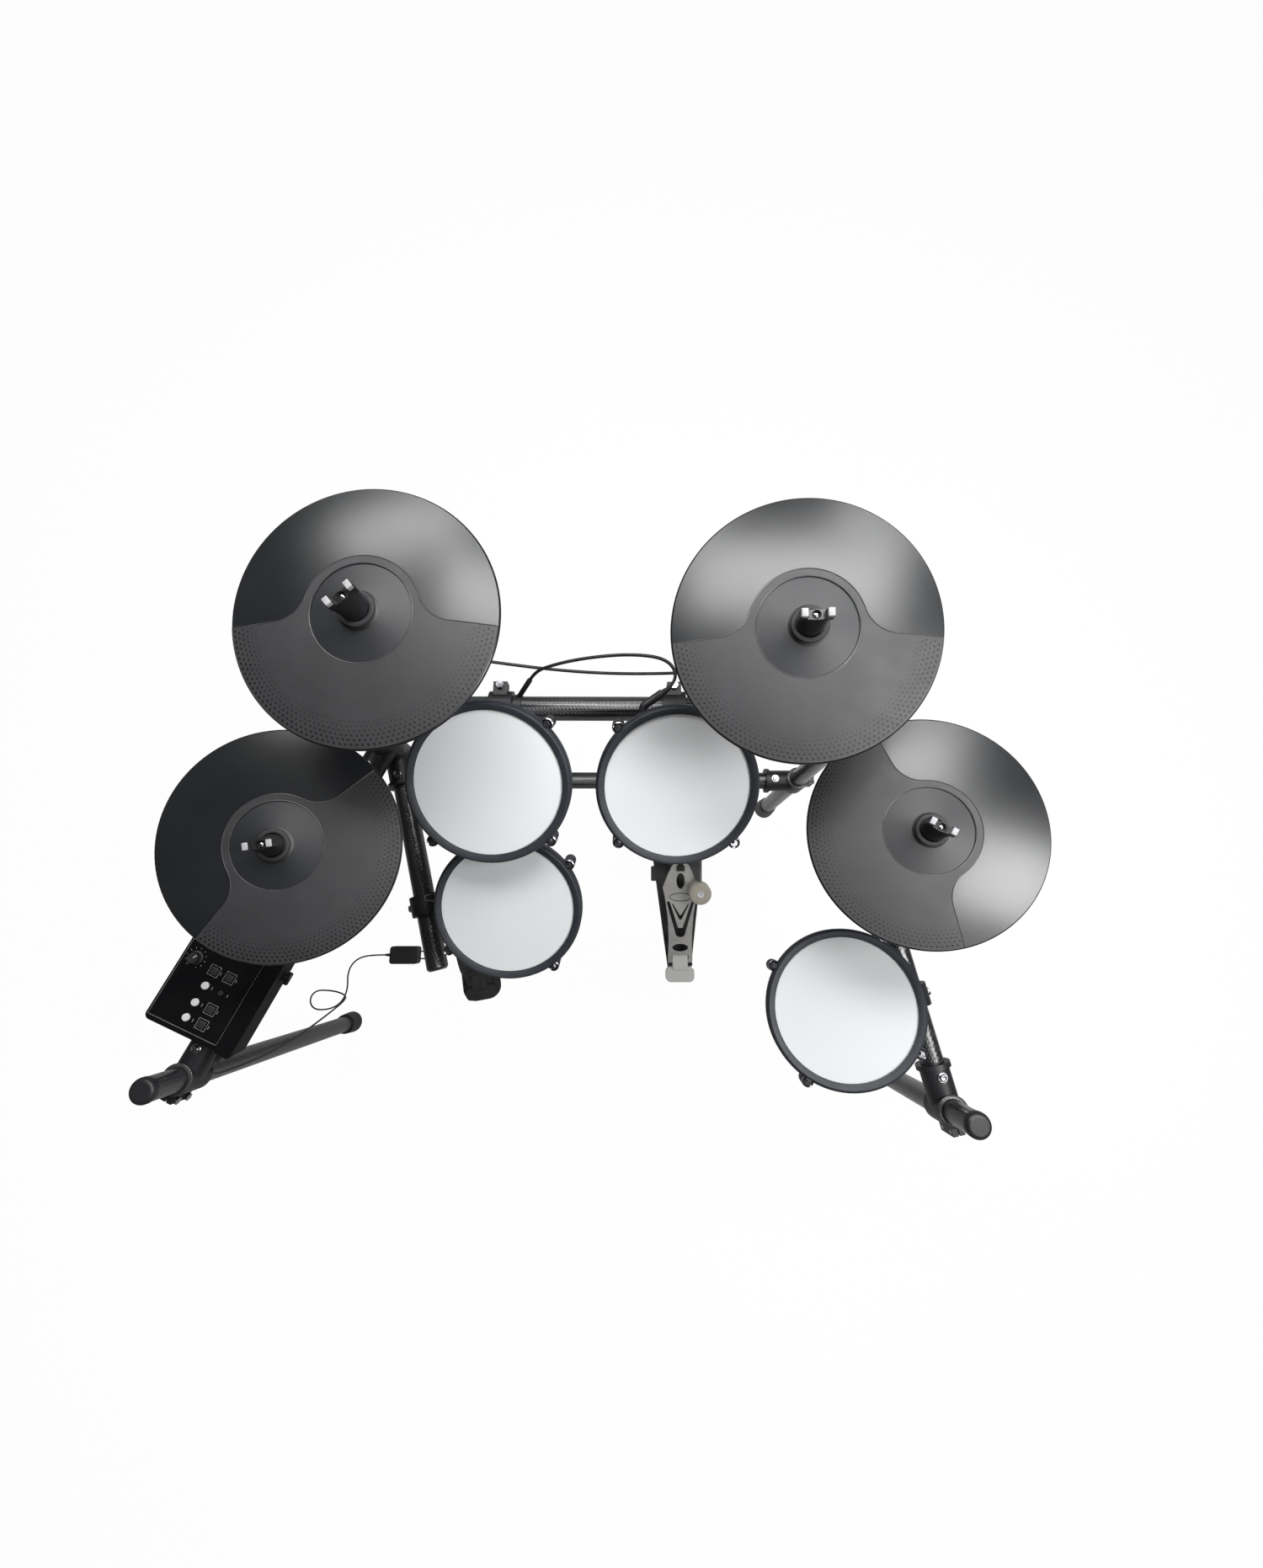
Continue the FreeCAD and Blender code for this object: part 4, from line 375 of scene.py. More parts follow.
# spots are pairs of a place and a size
def scattered(name, templateMesh, spots, mat, body, size=1.0):
    template = addObject(name + "Template", templateMesh)
    mesh = bpy.data.meshes.new(name + "Points")
    mesh.from_pydata([place.translation for place, amount in spots], [], [])
    mesh.attributes.new("turn", "FLOAT_VECTOR", "POINT")
    mesh.attributes.new("grow", "FLOAT", "POINT")
    for i, (place, amount) in enumerate(spots):
        mesh.attributes["turn"].data[i].vector = place.to_euler()
        mesh.attributes["grow"].data[i].value = amount
    holder = addObject(name + "Holder", mesh)
    tree, sizeId = scatterTree(name + "Scatter", template, mat)
    modifier = holder.modifiers.new("scatter", "NODES")
    modifier.node_group = tree
    modifier[sizeId] = size
    result = evaluated(holder)
    result.name = name
    for stale in [a.name for a in result.attributes if a.name in ("turn", "grow")]:
        result.attributes.remove(result.attributes[stale])
    piece = addObject(name, result)
    for spare in (holder, template):
        bpy.data.objects.remove(spare)
    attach(piece, body)
    return piece


def paint(name, mat):
    mesh = nodes[name].data
    mesh.materials.clear()
    mesh.materials.append(mat)
    return mesh


# CAD nodes that hold several solids: paint each solid by its own size
def paintSolids(name, main, choose):
    mesh = paint(name, main)
    points = [tuple(round(part, 6) for part in vert.co) for vert in mesh.vertices]
    parent = {point: point for point in points}

    def find(point):
        while parent[point] != point:
            parent[point] = parent[parent[point]]
            point = parent[point]
        return point

    for polygon in mesh.polygons:
        first = find(points[polygon.vertices[0]])
        for corner in polygon.vertices[1:]:
            parent[find(points[corner])] = first
    solids = {}
    for point in points:
        solids.setdefault(find(point), []).append(point)
    slotOf = {}
    for root, spots in solids.items():
        mat = choose(Vector(max(axis) - min(axis) for axis in zip(*spots)) / mm)
        if mat and mat.name not in mesh.materials:
            mesh.materials.append(mat)
        slotOf[root] = mesh.materials.find(mat.name) if mat else 0
    for polygon in mesh.polygons:
        polygon.material_index = slotOf[find(points[polygon.vertices[0]])]


# a choice for paintSolids: solids under this length across their box, in mm
def smallIs(mat, limit):
    return lambda size: mat if size.length < limit else None


# rack
rackLook = {
    "tube": 19.0, "bars": (838.0, 350.0), "armRise": 30.0, "armWay": (0.25376, -0.96727, 0.0),
    "screwSize": 36.0, "capSize": 90.0, "rodDepth": 80.0,
}


def dressRack():
    for name in ("rear_posts", "left_wing_tubes", "right_wing_tubes"):
        paint(name, wovenTube)
    paint("crossbars", streakedTube)
    paintSolids("snare_arm", wovenTube, armPaint)
    paint("floor_tom_rod", boomBlack)
    for name in ("rear_fittings", "left_wing_fittings", "right_wing_fittings"):
        paintSolids(name, fittingBlack, smallIs(chrome, rackLook["screwSize"]))
    addSleeveScrews()


def armPaint(size):
    if size.length < rackLook["capSize"]:
        return fittingBlack
    return boomBlack if size.y < rackLook["rodDepth"] else None


# where the tees sit, body by body: the tubes' crossing and the way the sleeve points
def teeList():
    left, right = (Vector(jointOf[side + "_wing_swing"]["pos_m"]) for side in ("left", "right"))
    low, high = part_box("right_wing_tubes")
    inset = rackLook["tube"] * mm
    span = Vector((high.x - inset, low.y + inset, right.z)) - right
    across = Vector((1, 0, 0))
    rack = [(Vector((post.x, post.y, height * mm)), way) for height in rackLook["bars"]
            for post, way in ((left, across), (right, -across))]
    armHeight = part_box("snare_arm")[0].z + rackLook["armRise"] * mm
    rack.append((Vector((left.x, left.y, armHeight)), Vector(rackLook["armWay"])))
    leftWay = Vector(jointOf["module_tilt"]["axis"])
    wings = {"left_wing": (left, leftWay), "right_wing": (right, span.normalized())}
    ends = {body: [(post, way), (post + way * span.length, -way)] for body, (post, way) in wings.items()}
    return {"rack": rack, **ends}


screwLook = {
    "head": [(0, -2.5), (8.5, -2.5), (8.5, 0.9), (7.9, 1.4), (6.8, 1.4), (6.6, 1.4), (6.2, 1.6), (6.2, 4.4),
             (5.0, 5.6), (3.7, 5.6), (3.2, 3.2), (0, 3.0)],
    "lip": [(19.35, -1.2), (24.6, -1.2), (25.5, -0.3), (25.5, 0.3), (24.2, 1.3), (20.0, 1.3), (19.35, 0.7)],
    "along": 52.0, "sleeve": 24.0, "lipRise": 26.2,
    "stem": {"rack": "rack", "left_wing": "leftWing", "right_wing": "rightWing"},
}


# a capped socket screw with its washer on the top of each sleeve, and a lip round each collar, pale as a
# painted highlight on the collar's edge
def addSleeveScrews():
    bm = bmesh.new()
    spun(bm, screwLook["head"], 24)
    screw = meshFrom(bm, "sleeveScrew")
    bm = bmesh.new()
    spun(bm, screwLook["lip"], 40)
    lip = meshFrom(bm, "collarLip")
    for body, tees in teeList().items():
        heads, lips = [], []
        for spot, way in tees:
            onSleeve = spot + way * screwLook["along"] * mm
            heads.append((Matrix.Translation(onSleeve) @ shifted(0, 0, screwLook["sleeve"]), 1.0))
            lips.append((Matrix.Translation(spot) @ shifted(0, 0, screwLook["lipRise"]), 1.0))
        stem = screwLook["stem"][body]
        scattered(stem + "SleeveScrews", screw, heads, chrome, body)
        scattered(stem + "CollarLips", lip, lips, paintedHighlightGrey, body)


# cymbals
cymbalNames = ("crash_left", "crash_right", "hihat", "ride")
padNames = ("tom_1", "tom_2", "snare", "floor_tom")
tailOf = {name: "".join(word.capitalize() for word in name.split("_")) for name in cymbalNames + padNames}
cymbalLook = {
    "nutRise": 40.0,
    "zone": {"crash_left": 0.0, "crash_right": 0.0, "hihat": 47.0, "ride": -72.0},
    "shellDark": (0.008, 0.009, 0.010), "shellLight": (0.014, 0.015, 0.017),
    "shellRough": (0.27, 0.30), "shellSpecular": 0.72,
    "bell": (0.012, 0.013, 0.015), "bellEdge": (0.0575, 0.0565), "bellDuller": 0.22,
    "seat": (0.007, 0.007, 0.008), "seatEdge": (0.0235, 0.0230),
    "rubberDark": (0.026, 0.026, 0.028), "rubberLight": (0.036, 0.036, 0.039),
    # the dimples' floor colour is painted shade in their hollows
    "rubberRough": (0.46, 0.57), "rubberSpecular": 0.60, "pit": (0.003, 0.003, 0.004),
}


def cymbalFrame(name):
    joint = jointOf[name + "_nut_spin"]
    normal = Vector(joint["axis"]).normalized()
    return upright(Vector(joint["pos_m"]) - normal * cymbalLook["nutRise"] * mm, normal)


cymbalAt = {name: cymbalFrame(name) for name in cymbalNames}


# satin plastic; the bell and the nut's seat differ, inside radii in metres
def cymbalShellMaterial(name):
    look = cymbalLook
    mat, shader, coords = startMaterial("cymbalShell" + tailOf[name])
    axes = addNode(coords, "ShaderNodeSeparateXYZ", {"Vector": localTo(coords, cymbalAt[name])}).outputs
    flat = addNode(coords, "ShaderNodeCombineXYZ", {"X": axes["X"], "Y": axes["Y"]}).outputs["Vector"]
    radius = addNode(coords, "ShaderNodeVectorMath", {0: flat}, operation="LENGTH").outputs["Value"]
    inBell, inSeat = (spread(radius, 0.0, 1.0, *look[key]) for key in ("bellEdge", "seatEdge"))
    clouds = spread(noise(coords, scale=9.0, detail=7.0), 0, 1)
    bow = tinted(clouds, look["shellDark"], look["shellLight"])
    bell = tinted(inBell, bow, look["bell"])
    smears = noise(coords, scale=26.0, detail=3.0, rough=0.5)
    satin = spread(smears, *look["shellRough"], 0.0, 1.0)
    feed(shader, {
        "Base Color": tinted(inSeat, bell, look["seat"]),
        "Roughness": mathNode("ADD", satin, mathNode("MULTIPLY", inBell, look["bellDuller"])),
        "Specular IOR Level": look["shellSpecular"],
    })
    bumped(shader, noise(coords, scale=2600.0, detail=2.0), strength=0.08)
    return mat


# matte rubber; the dimples' floors carry a value that darkens them as painted shade in their hollows
def cymbalRubberMaterial(name):
    look = cymbalLook
    mat, shader, coords = startMaterial("cymbalRubber" + tailOf[name])
    clouds = spread(noise(coords, scale=11.0, detail=6.0), 0, 1)
    base = tinted(clouds, look["rubberDark"], look["rubberLight"])
    pit = addNode(coords, "ShaderNodeAttribute", attribute_name="pit").outputs["Fac"]
    smears = noise(coords, scale=32.0, detail=8.0, rough=0.65)
    feed(shader, {
        "Base Color": tinted(pit, base, look["pit"]),
        "Roughness": spread(smears, *look["rubberRough"]),
        "Specular IOR Level": look["rubberSpecular"],
    })
    bumped(shader, noise(coords, scale=2400.0, detail=2.0), strength=0.3)
    return mat


bowLook = {"start": 57.0, "run": 93.5, "top": 14.4, "drop": 10.5, "swell": 6.32}


# height of the rubber's face over the cymbal's own zero, both in mm
def bowHeight(radius):
    along = (radius - bowLook["start"]) / bowLook["run"]
    return bowLook["top"] - bowLook["drop"] * along + bowLook["swell"] * along * (1 - along)


dimpleLook = {
    "profile": [(2.3, -0.2), (2.1, 0.14), (1.85, 0.18), (1.6, 0.06), (0.8, 0.04), (0, 0.04), (0, -0.2)],
    "floor": 1.65, "rows": 6, "rowPitch": 5.0, "pitch": 6.4, "firstRow": 146.4, "halfTurn": 84.0,
    "shrink": 0.12, "shifts": (0.25, 0.75),
}


# one dimple: a low lip round a floor darkened with painted shade
def dimpleMesh(name):
    bm = bmesh.new()
    pit = bm.verts.layers.float.new("pit")
    spun(bm, dimpleLook["profile"], 12)
    for vert in bm.verts:
        vert[pit] = 1.0 if vert.co.xy.length < dimpleLook["floor"] * mm else 0.0
    return meshFrom(bm, name)


def dimpleSpots(name):
    look = dimpleLook
    half = radians(look["halfTurn"])
    begin = radians(cymbalLook["zone"][name] - 90) - half
    step = look["pitch"] / look["firstRow"]
    spots = []
    for row in range(look["rows"]):
        radius = look["firstRow"] - row * look["rowPitch"]
        slope = atan(bowHeight(radius + 0.5) - bowHeight(radius - 0.5))
        onBow = shifted(radius, 0, bowHeight(radius)) @ Matrix.Rotation(-slope, 4, "Y")
        offset = look["shifts"][row % 2]
        for k in range(int(2 * half / step)):
            around = Matrix.Rotation(begin + (k + offset) * step, 4, "Z")
            spots.append((cymbalAt[name] @ around @ onBow, 1.0 - look["shrink"] * row))
    return spots


beadLook = {
    "rim": 150.2, "edgeTurn": 85.0, "collar": 66.0, "fillet": 40.0, "radius": 0.8, "sink": 0.3, "sides": 8,
    "parts": (8, 16, 24), "bell": [(56.6, 13.6), (56.8, 14.6), (57.4, 14.8), (58.0, 14.6), (58.2, 13.8)],
}


# outline of the rubber zone from rim to rim: a ray, a swept fillet and half of the collar, then mirrored
def rubberOutline():
    collar, fillet, rim = (beadLook[key] for key in ("collar", "fillet", "rim"))
    ray = radians(beadLook["edgeTurn"] - 90)
    quarter = pi / 2
    touch = sqrt((collar + fillet) ** 2 - fillet ** 2)
    lean = atan2(fillet, touch)
    middle = polar(ray + lean, collar + fillet)
    onRay, onFillet, onCollar = beadLook["parts"]
    half = [polar(ray, rim + (touch - rim) * k / onRay) for k in range(onRay)]
    half += [middle + polar(ray - quarter - (quarter - lean) * k / onFillet, fillet)
             for k in range(onFillet + 1)]
    half += [polar(ray + lean + (quarter - ray - lean) * k / onCollar, collar)
             for k in range(1, onCollar + 1)]
    return half + [Vector((-spot.x, spot.y)) for spot in reversed(half[:-1])]


# a fine raised bead along the rubber's edge, and another round the bell; their lighter grey is a painted
# highlight on these edges
def addBeads(name):
    bm = bmesh.new()
    spots = [Vector((*spot, bowHeight(spot.length) - beadLook["sink"])) * mm for spot in rubberOutline()]
    sides = beadLook["sides"]
    rings = []
    for i, spot in enumerate(spots):
        ahead = (spots[min(i + 1, len(spots) - 1)] - spots[max(i - 1, 0)]).normalized()
        out = ahead.cross(Vector((0, 0, 1))).normalized()
        over = out.cross(ahead)
        ring = []
        for k in range(sides):
            aside, above = polar(2 * pi * k / sides, beadLook["radius"] * mm)
            ring.append(bm.verts.new(spot + out * aside + over * above))
        rings.append(ring)
    skin(bm, rings, False)
    spun(bm, beadLook["bell"], 96)
    place = cymbalAt[name] @ turned(cymbalLook["zone"][name])
    finishPiece("rubberBeads" + tailOf[name], bm, paintedHighlightGrey, name + "_cymbal", place)


nutLook = {
    "ring": [(15.7, 23.8), (18.8, 22.9), (20.6, 23.6), (21.2, 25.4), (20.4, 27.4), (18.4, 28.2),
             (15.7, 27.6)],
    "rodEnd": [(0, 50), (4.65, 50), (4.65, 55.4), (3.9, 57.0), (2.2, 58.2), (0, 58.6)],
    "tip": (7.0, 9.2, 62.6, 69.2, 0.9), "tipReach": 13.5,
    "turn": {"crash_left": 40.0, "crash_right": 0.0, "hihat": 10.0, "ride": -30.0},
}


def dressCymbal(name):
    tail = tailOf[name]
    place = cymbalAt[name]
    nut = name + "_nut"
    paint(name + "_shell", cymbalShellMaterial(name))
    rubber = cymbalRubberMaterial(name)
    paint(name + "_rubber", rubber)
    cup = dimpleMesh("dimple" + tail)
    scattered("dimples" + tail, cup, dimpleSpots(name), rubber, name + "_cymbal")
    addBeads(name)
    # soft ring round the nut's foot, bright rod end and pale tips
    turnedPiece("washer" + tail, nutLook["ring"], 48, padRubber, nut, place)
    turnedPiece("rodEnd" + tail, nutLook["rodEnd"], 20, chrome, name + "_arm", place)
    paint(name + "_boom", boomBlack)
    paint(name + "_wing_nut", nutBlack)
    bm = bmesh.new()
    turn = turned(nutLook["turn"][name])
    for side in (-1, 1):
        softBlock(bm, *nutLook["tip"], turn @ shifted(side * nutLook["tipReach"]))
    finishPiece("tips" + tail, bm, tipGrey, nut, place)


# drum pads
padLook = {
    "radius": 107.4, "headHalf": 0.75, "crown": 0.25, "faceDrop": 0.3,
    "faceRings": (1.0, 0.8, 0.55, 0.3, 0.0),
    "under": ((0.0, -0.75), (0.5, -0.9), (1.0, -1.0)), "screwSize": 50.0,
    "face": (0.79, 0.80, 0.81), "shade": (0.72, 0.73, 0.745), "sheen": 0.15, "weave": 0.62,
    # the darker head colour on the more brightly lit pads is painted shade that evens out how much light each
    # head gets
    "wear": {"tom_1": 1.0, "tom_2": 0.97, "snare": 0.95, "floor_tom": 0.76},
    "lugs": {"tom_1": 45.0, "tom_2": 45.0, "snare": 36.0, "floor_tom": 59.0},
    "claw": [(6.3, -6.0), (8.6, -6.0), (8.8, -3.0), (8.2, -0.6), (7.4, -0.2), (6.4, -0.8)],
    "clawArc": (-115.0, 230.0), "clawReach": 120.5,
}


def headFrame(name):
    low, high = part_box(name + "_head")
    normal = meanNormal(nodes[name + "_head"].data, 0.5)
    return upright((low + high) / 2, normal) @ shifted(0, 0, padLook["headHalf"])


padAt = {name: headFrame(name) for name in padNames}


def headMaterial(name):
    look = padLook
    mat, shader, coords = startMaterial("meshHead" + tailOf[name])
    local = localTo(coords, padAt[name])
    scale = 1 / (look["weave"] * mm * 20)  # the wave node counts in twentieths
    waves = [wave(mapped(local, {"Rotation": (0, 0, turn)}), scale, distortion=0.15)
             for turn in (0.0, pi / 2)]
    weave = mathNode("MAXIMUM", waves[0], waves[1])
    clouds = noise(local, scale=12.0)
    tone = mathNode("MULTIPLY", spread(clouds, 0.82, 1.0), spread(weave, 0.75, 1.0, 0, 1))
    # the per-pad darkening of the head colour is painted shade
    wear = look["wear"][name]
    shade, face = (tuple(wear * part for part in look[key]) for key in ("shade", "face"))
    feed(shader, {
        "Base Color": tinted(tone, shade, face),
        "Roughness": spread(clouds, 0.44, 0.56),
        "Sheen Weight": look["sheen"],
    })
    bumped(shader, weave, strength=0.25, depth=0.0001)
    return mat


def dressPad(name):
    tail = tailOf[name]
    place = padAt[name]
    edge = padLook["radius"]
    profile = [(edge * share, height) for share, height in padLook["under"]]
    profile += [(edge * share, padLook["crown"] * (1 - share ** 2) - padLook["faceDrop"])
                for share in padLook["faceRings"]]
    head = turnedPiece("meshHead" + tail, profile, 96, headMaterial(name), name, place)
    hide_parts(name + "_head")
    paintSolids(name + "_hoop", hoopRubber, smallIs(chrome, padLook["screwSize"]))
    paintSolids(name + "_shell", shellBlack, smallIs(chrome, padLook["screwSize"]))
    # bright claws round the tension screws
    bm = bmesh.new()
    spun(bm, padLook["claw"], 18, *padLook["clawArc"])
    claw = meshFrom(bm, "claw" + tail)
    spots = [(place @ turned(padLook["lugs"][name] + 90 * k) @ shifted(padLook["clawReach"]), 1.0)
             for k in range(4)]
    scattered("claws" + tail, claw, spots, chrome, name)


# leads: the routes of the solids, in mm
tomRoute = [
    (153.5, 245.6, 930.7), (168, 255.3, 933.2), (174, 274, 936), (163, 291, 937.5), (140, 299.5, 937.5),
    (101, 303, 934.5), (61, 302, 929.5), (22, 299, 922), (-10, 295, 912), (-33.6, 291.4, 899.4),
    (-44, 284, 884),
]
crashRoute = [
    (-219, 291, 883), (-209, 301, 897), (-189, 309, 903), (-157, 314, 897), (-117, 315, 885), (-69, 313, 873),
    (-19, 310, 865), (33, 307, 861), (85, 305, 860), (137, 304, 862), (189, 304, 866), (239, 305, 873),
    (285, 308, 883), (321, 311, 894), (345, 308, 901), (363, 300, 896), (373, 291, 883),
]
powerRoute = [
    (-555.9, -287.9, 684.9), (-562.5, -301.5, 684.9), (-568, -311, 672), (-570, -314, 654), (-571, -315, 622),
    (-573, -314.5, 564), (-576, -312.5, 506), (-580, -309, 448), (-585, -304, 390), (-591, -297.5, 332),
    (-597.5, -290, 274), (-604, -282, 216), (-610.5, -274, 160), (-617, -266.5, 108), (-624, -260, 66),
    (-635, -254, 32), (-655, -248, 11), (-679, -243, 3), (-705, -240.6, 2.3), (-727, -241.4, 2.3),
    (-741.4, -254.9, 2.3), (-741.4, -275.1, 2.3), (-727, -289.4, 2.3), (-701, -290.5, 2.3), (-675, -284, 2.3),
    (-657, -269, 2.3), (-648, -249, 2.3), (-646, -227, 2.3), (-649, -203, 2.3), (-643, -177, 2.3),
    (-625, -159, 2.6), (-601, -151.5, 5), (-573, -149.5, 9.5), (-551, -149, 12), (-530, -149, 12),
]
leadLook = {"signal": 2.5, "power": 2.0, "pinSize": 30.0}
bendingLeads = {  # leads between two bodies, bent over the stretch from start to end, in metres
    "tomLead": {
        "route": tomRoute, "radius": leadLook["signal"], "node": "tom_2_lead",
        "bodies": ("rack", "tom_2"), "start": (0.02, 0.299, 0.922), "end": (0.15, 0.262, 0.932),
        "farEnd": "object", "lay": "hanging", "withPieces": [],
    },
    "powerLead": {
        "route": powerRoute, "radius": leadLook["power"], "node": "power_lead",
        "bodies": ("left_wing", "module"), "start": (-0.600, -0.288, 0.25), "end": (-0.556, -0.292, 0.684),
        "farEnd": "fitting", "lay": "loose", "withPieces": [nodes["power_adapter"]],
    },
}
bootLook = {
    "grooves": 5, "cut": 0.6, "step": 0.4, "foot": -1.0, "groove": (0.62, 0.7, 0.95),
    "boots": {  # first two points of the lead, length, wide and thin radius, body
        "tomLeadBoot": (tomRoute[0], tomRoute[1], 15.0, 4.6, 3.0, "tom_2"),
        "moduleLeadBoot": (powerRoute[0], powerRoute[1], 13.0, 3.9, 2.5, "module"),
        "adapterBoot": (powerRoute[-1], powerRoute[-2], 19.0, 5.0, 2.5, "left_wing"),
    },
}


def routeCurve(name, route, radius):
    line = bpy.data.curves.new(name, "CURVE")
    line.dimensions = "3D"
    line.resolution_u = 8
    line.bevel_depth = radius * mm
    line.bevel_resolution = 4
    line.use_fill_caps = True
    line.materials.append(leadJacket)
    spline = line.splines.new("NURBS")
    spline.points.add(len(route) - 1)
    for point, spot in zip(spline.points, route):
        point.co = (*(Vector(spot) * mm), 1)
    spline.order_u = 3
    spline.use_endpoint_u = True
    return addObject(name, line)


def routeLine(curve):
    depth = curve.data.bevel_depth
    curve.data.bevel_depth = 0
    mesh = evaluated(curve)
    path = [v.co.copy() for v in mesh.vertices]
    bpy.data.meshes.remove(mesh)
    curve.data.bevel_depth = depth
    return path


# a tapered, grooved boot on a lead's end
def addBoot(name, start, toward, length, wide, thin, body):
    profile = [(0, bootLook["foot"]), (wide, bootLook["foot"])]
    grooves = bootLook["grooves"]
    pitch = length / grooves
    edge, begin, end = (pitch * share for share in bootLook["groove"])
    for k in range(grooves):
        low = pitch * k
        r = wide + (thin - wide) * k / grooves
        cut = r - bootLook["cut"]
        profile += [(r, low + bootLook["step"]), (r, low + edge), (cut, low + begin), (cut, low + end)]
    profile += [(thin, length), (0, length)]
    place = upright(Vector(start) * mm, (Vector(toward) - Vector(start)).normalized())
    turnedPiece(name, profile, 28, leadJacket, body, place)


def dressLeads():
    curve = routeCurve("crashLead", crashRoute, leadLook["signal"])
    path = routeLine(curve)
    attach(curve, "rack")
    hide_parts("crash_lead")
    for name, plan in bendingLeads.items():
        curve = routeCurve(name + "Route", plan["route"], plan["radius"])
        path = routeLine(curve)
        mesh = evaluated(curve)
        bpy.data.objects.remove(curve)
        mesh.name = name
        lead = addObject(name, mesh)
        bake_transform(lead, *plan["bodies"], start=plan["start"], end=plan["end"])
        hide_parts(plan["node"])
    for name, plan in bootLook["boots"].items():
        addBoot(name, *plan)
    paintSolids("power_adapter", shellBlack, smallIs(chrome, leadLook["pinSize"]))


# pedals
feltLook = {
    "radius": 28.5, "half": 22.0, "edge": 6.0, "lowArc": (0.5, 1.05), "highArc": (0.52, 1.07),
    "fuzz": 0.007, "fuzzScale": 300, "washer": 9.0,
    "dark": (0.42, 0.38, 0.31), "light": (0.76, 0.71, 0.61), "rough": 0.95, "sheen": 0.35,
}


def feltMaterial():
    mat, shader, coords = startMaterial("creamFelt")
    fibres = noise(coords, scale=900.0, detail=9.0, rough=0.75)
    blotches = noise(coords, scale=45.0, detail=5.0)
    tone = mathNode("MULTIPLY", spread(fibres, 0.5, 1.0), spread(blotches, 0.7, 1.0))
    feed(shader, {
        "Base Color": tinted(tone, feltLook["dark"], feltLook["light"]),
        "Roughness": feltLook["rough"], "Sheen Weight": feltLook["sheen"],
    })
    bumped(shader, fibres, strength=0.8, depth=0.0006)
    return mat


def dressFelt():
    low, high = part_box("beater_felt")
    centre = (low + high) / 2
    away = centre - Vector(jointOf["beater_swing"]["pos_m"])
    place = upright(centre, Vector((0, away.z, -away.y)).normalized())
    r, h, e, w = (feltLook[key] for key in ("radius", "half", "edge", "washer"))
    profile = [(0, -h), (r * 0.5, -h), (r - e, -h)]
    profile += [(r - e + e * sin(a), -h + e - e * cos(a)) for a in feltLook["lowArc"]]
    profile += [(r, -h + e), (r, -h * 0.3), (r, h * 0.3), (r, h - e)]
    profile += [(r - e + e * cos(a), h - e + e * sin(a)) for a in feltLook["highArc"]]
    profile += [(r - e, h), (r * 0.5, h), (w + 1, h), (0, h)]
    bm = bmesh.new()
    spun(bm, profile, 72)
    for vert in bm.verts:  # felt is never quite even
        p = vert.co * feltLook["fuzzScale"]
        swell = sin(p.x * 2.1 + 1.3 * sin(p.y * 1.7)) * sin(p.y * 2.6 + p.z * 1.9)
        vert.co *= 1 + feltLook["fuzz"] * swell
    felt = finishPiece("beaterFelt", bm, feltMaterial(), "beater", place)
    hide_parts("beater_felt")
    screw = [(0, -0.4), (w, -0.4), (w, 0.5), (w - 0.5, 0.9), (5.2, 0.9), (5.0, 3.0), (4.2, 3.8), (2.6, 3.8),
             (2.4, 2.2), (0, 2.0)]
    onFelt = [(radius, h + rise) for radius, rise in screw]
    turnedPiece("beaterScrew", onFelt, 28, chrome, "beater", place)
    paint("beater_arm", chrome)


strapLook = {
    "width": 12.0, "thick": 2.4, "rise": (-1.15, 1.15, 0.8), "trim": 2.0, "hold": 4.0,
    "dark": (0.006, 0.006, 0.007), "light": (0.030, 0.030, 0.032), "rough": 0.85,
}


def strapMaterial():
    mat, shader, coords = startMaterial("strapWeb")
    threads = wave(coords, scale=120.0, distortion=0.5, detail=2.0)
    cross = wave(coords, scale=150.0, distortion=0.5, detail=2.0, direction="Y")
    weave = mathNode("MULTIPLY", threads, cross)
    feed(shader, {
        "Base Color": tinted(weave, strapLook["dark"], strapLook["light"]),
        "Roughness": strapLook["rough"],
    })
    bumped(shader, weave, strength=0.6, depth=0.0004)
    return mat


# flat webbing with a rounded edge, where its solid is; it stays on the toe and on the sprocket
def dressStrap():
    low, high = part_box("kick_strap")
    size = high - low
    rise = atan2(size.z - strapLook["thick"] * mm, size.y)
    span = hypot(size.y, size.z) / mm
    place = Matrix.Translation((low + high) / 2) @ Matrix.Rotation(rise, 4, "X")
    bm = bmesh.new()
    softBlock(bm, strapLook["width"], span - strapLook["trim"], *strapLook["rise"], place)
    strap = finishPiece("kickStrap", bm, strapMaterial(), None)
    reach = (span / 2 - strapLook["hold"]) * mm
    toe, wheel = (place @ Vector((0, end * reach, 0)) for end in (-1, 1))
    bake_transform(strap, "kick_board", "rack", start=toe, end=wheel)
    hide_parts("kick_strap")


kickPadLook = {
    "fill": 0.9,
    "profile": [(0, -27.9), (95, -27.9), (100.5, -26), (101.9, -22), (101.9, -9), (100.6, -5), (97, -2.4),
                (93, -2.0), (90, -3.6), (86, -4.0), (60, -2.2), (30, -0.8), (10, -0.35), (0, -0.3)],
}


# crowned rubber face with a raised rim bead
def dressKickPad():
    low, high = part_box("kick_pad")
    place = upright(Vector(((low.x + high.x) / 2, low.y, (low.z + high.z) / 2)), Vector((0, -1, 0)))
    pad = turnedPiece("kickPadFace", kickPadLook["profile"], 96, padRubber, "rack", place)
    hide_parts("kick_pad")


boardLook = {"faceUp": 0.8, "inner": 28.0, "proud": 0.5, "sunk": -0.15}


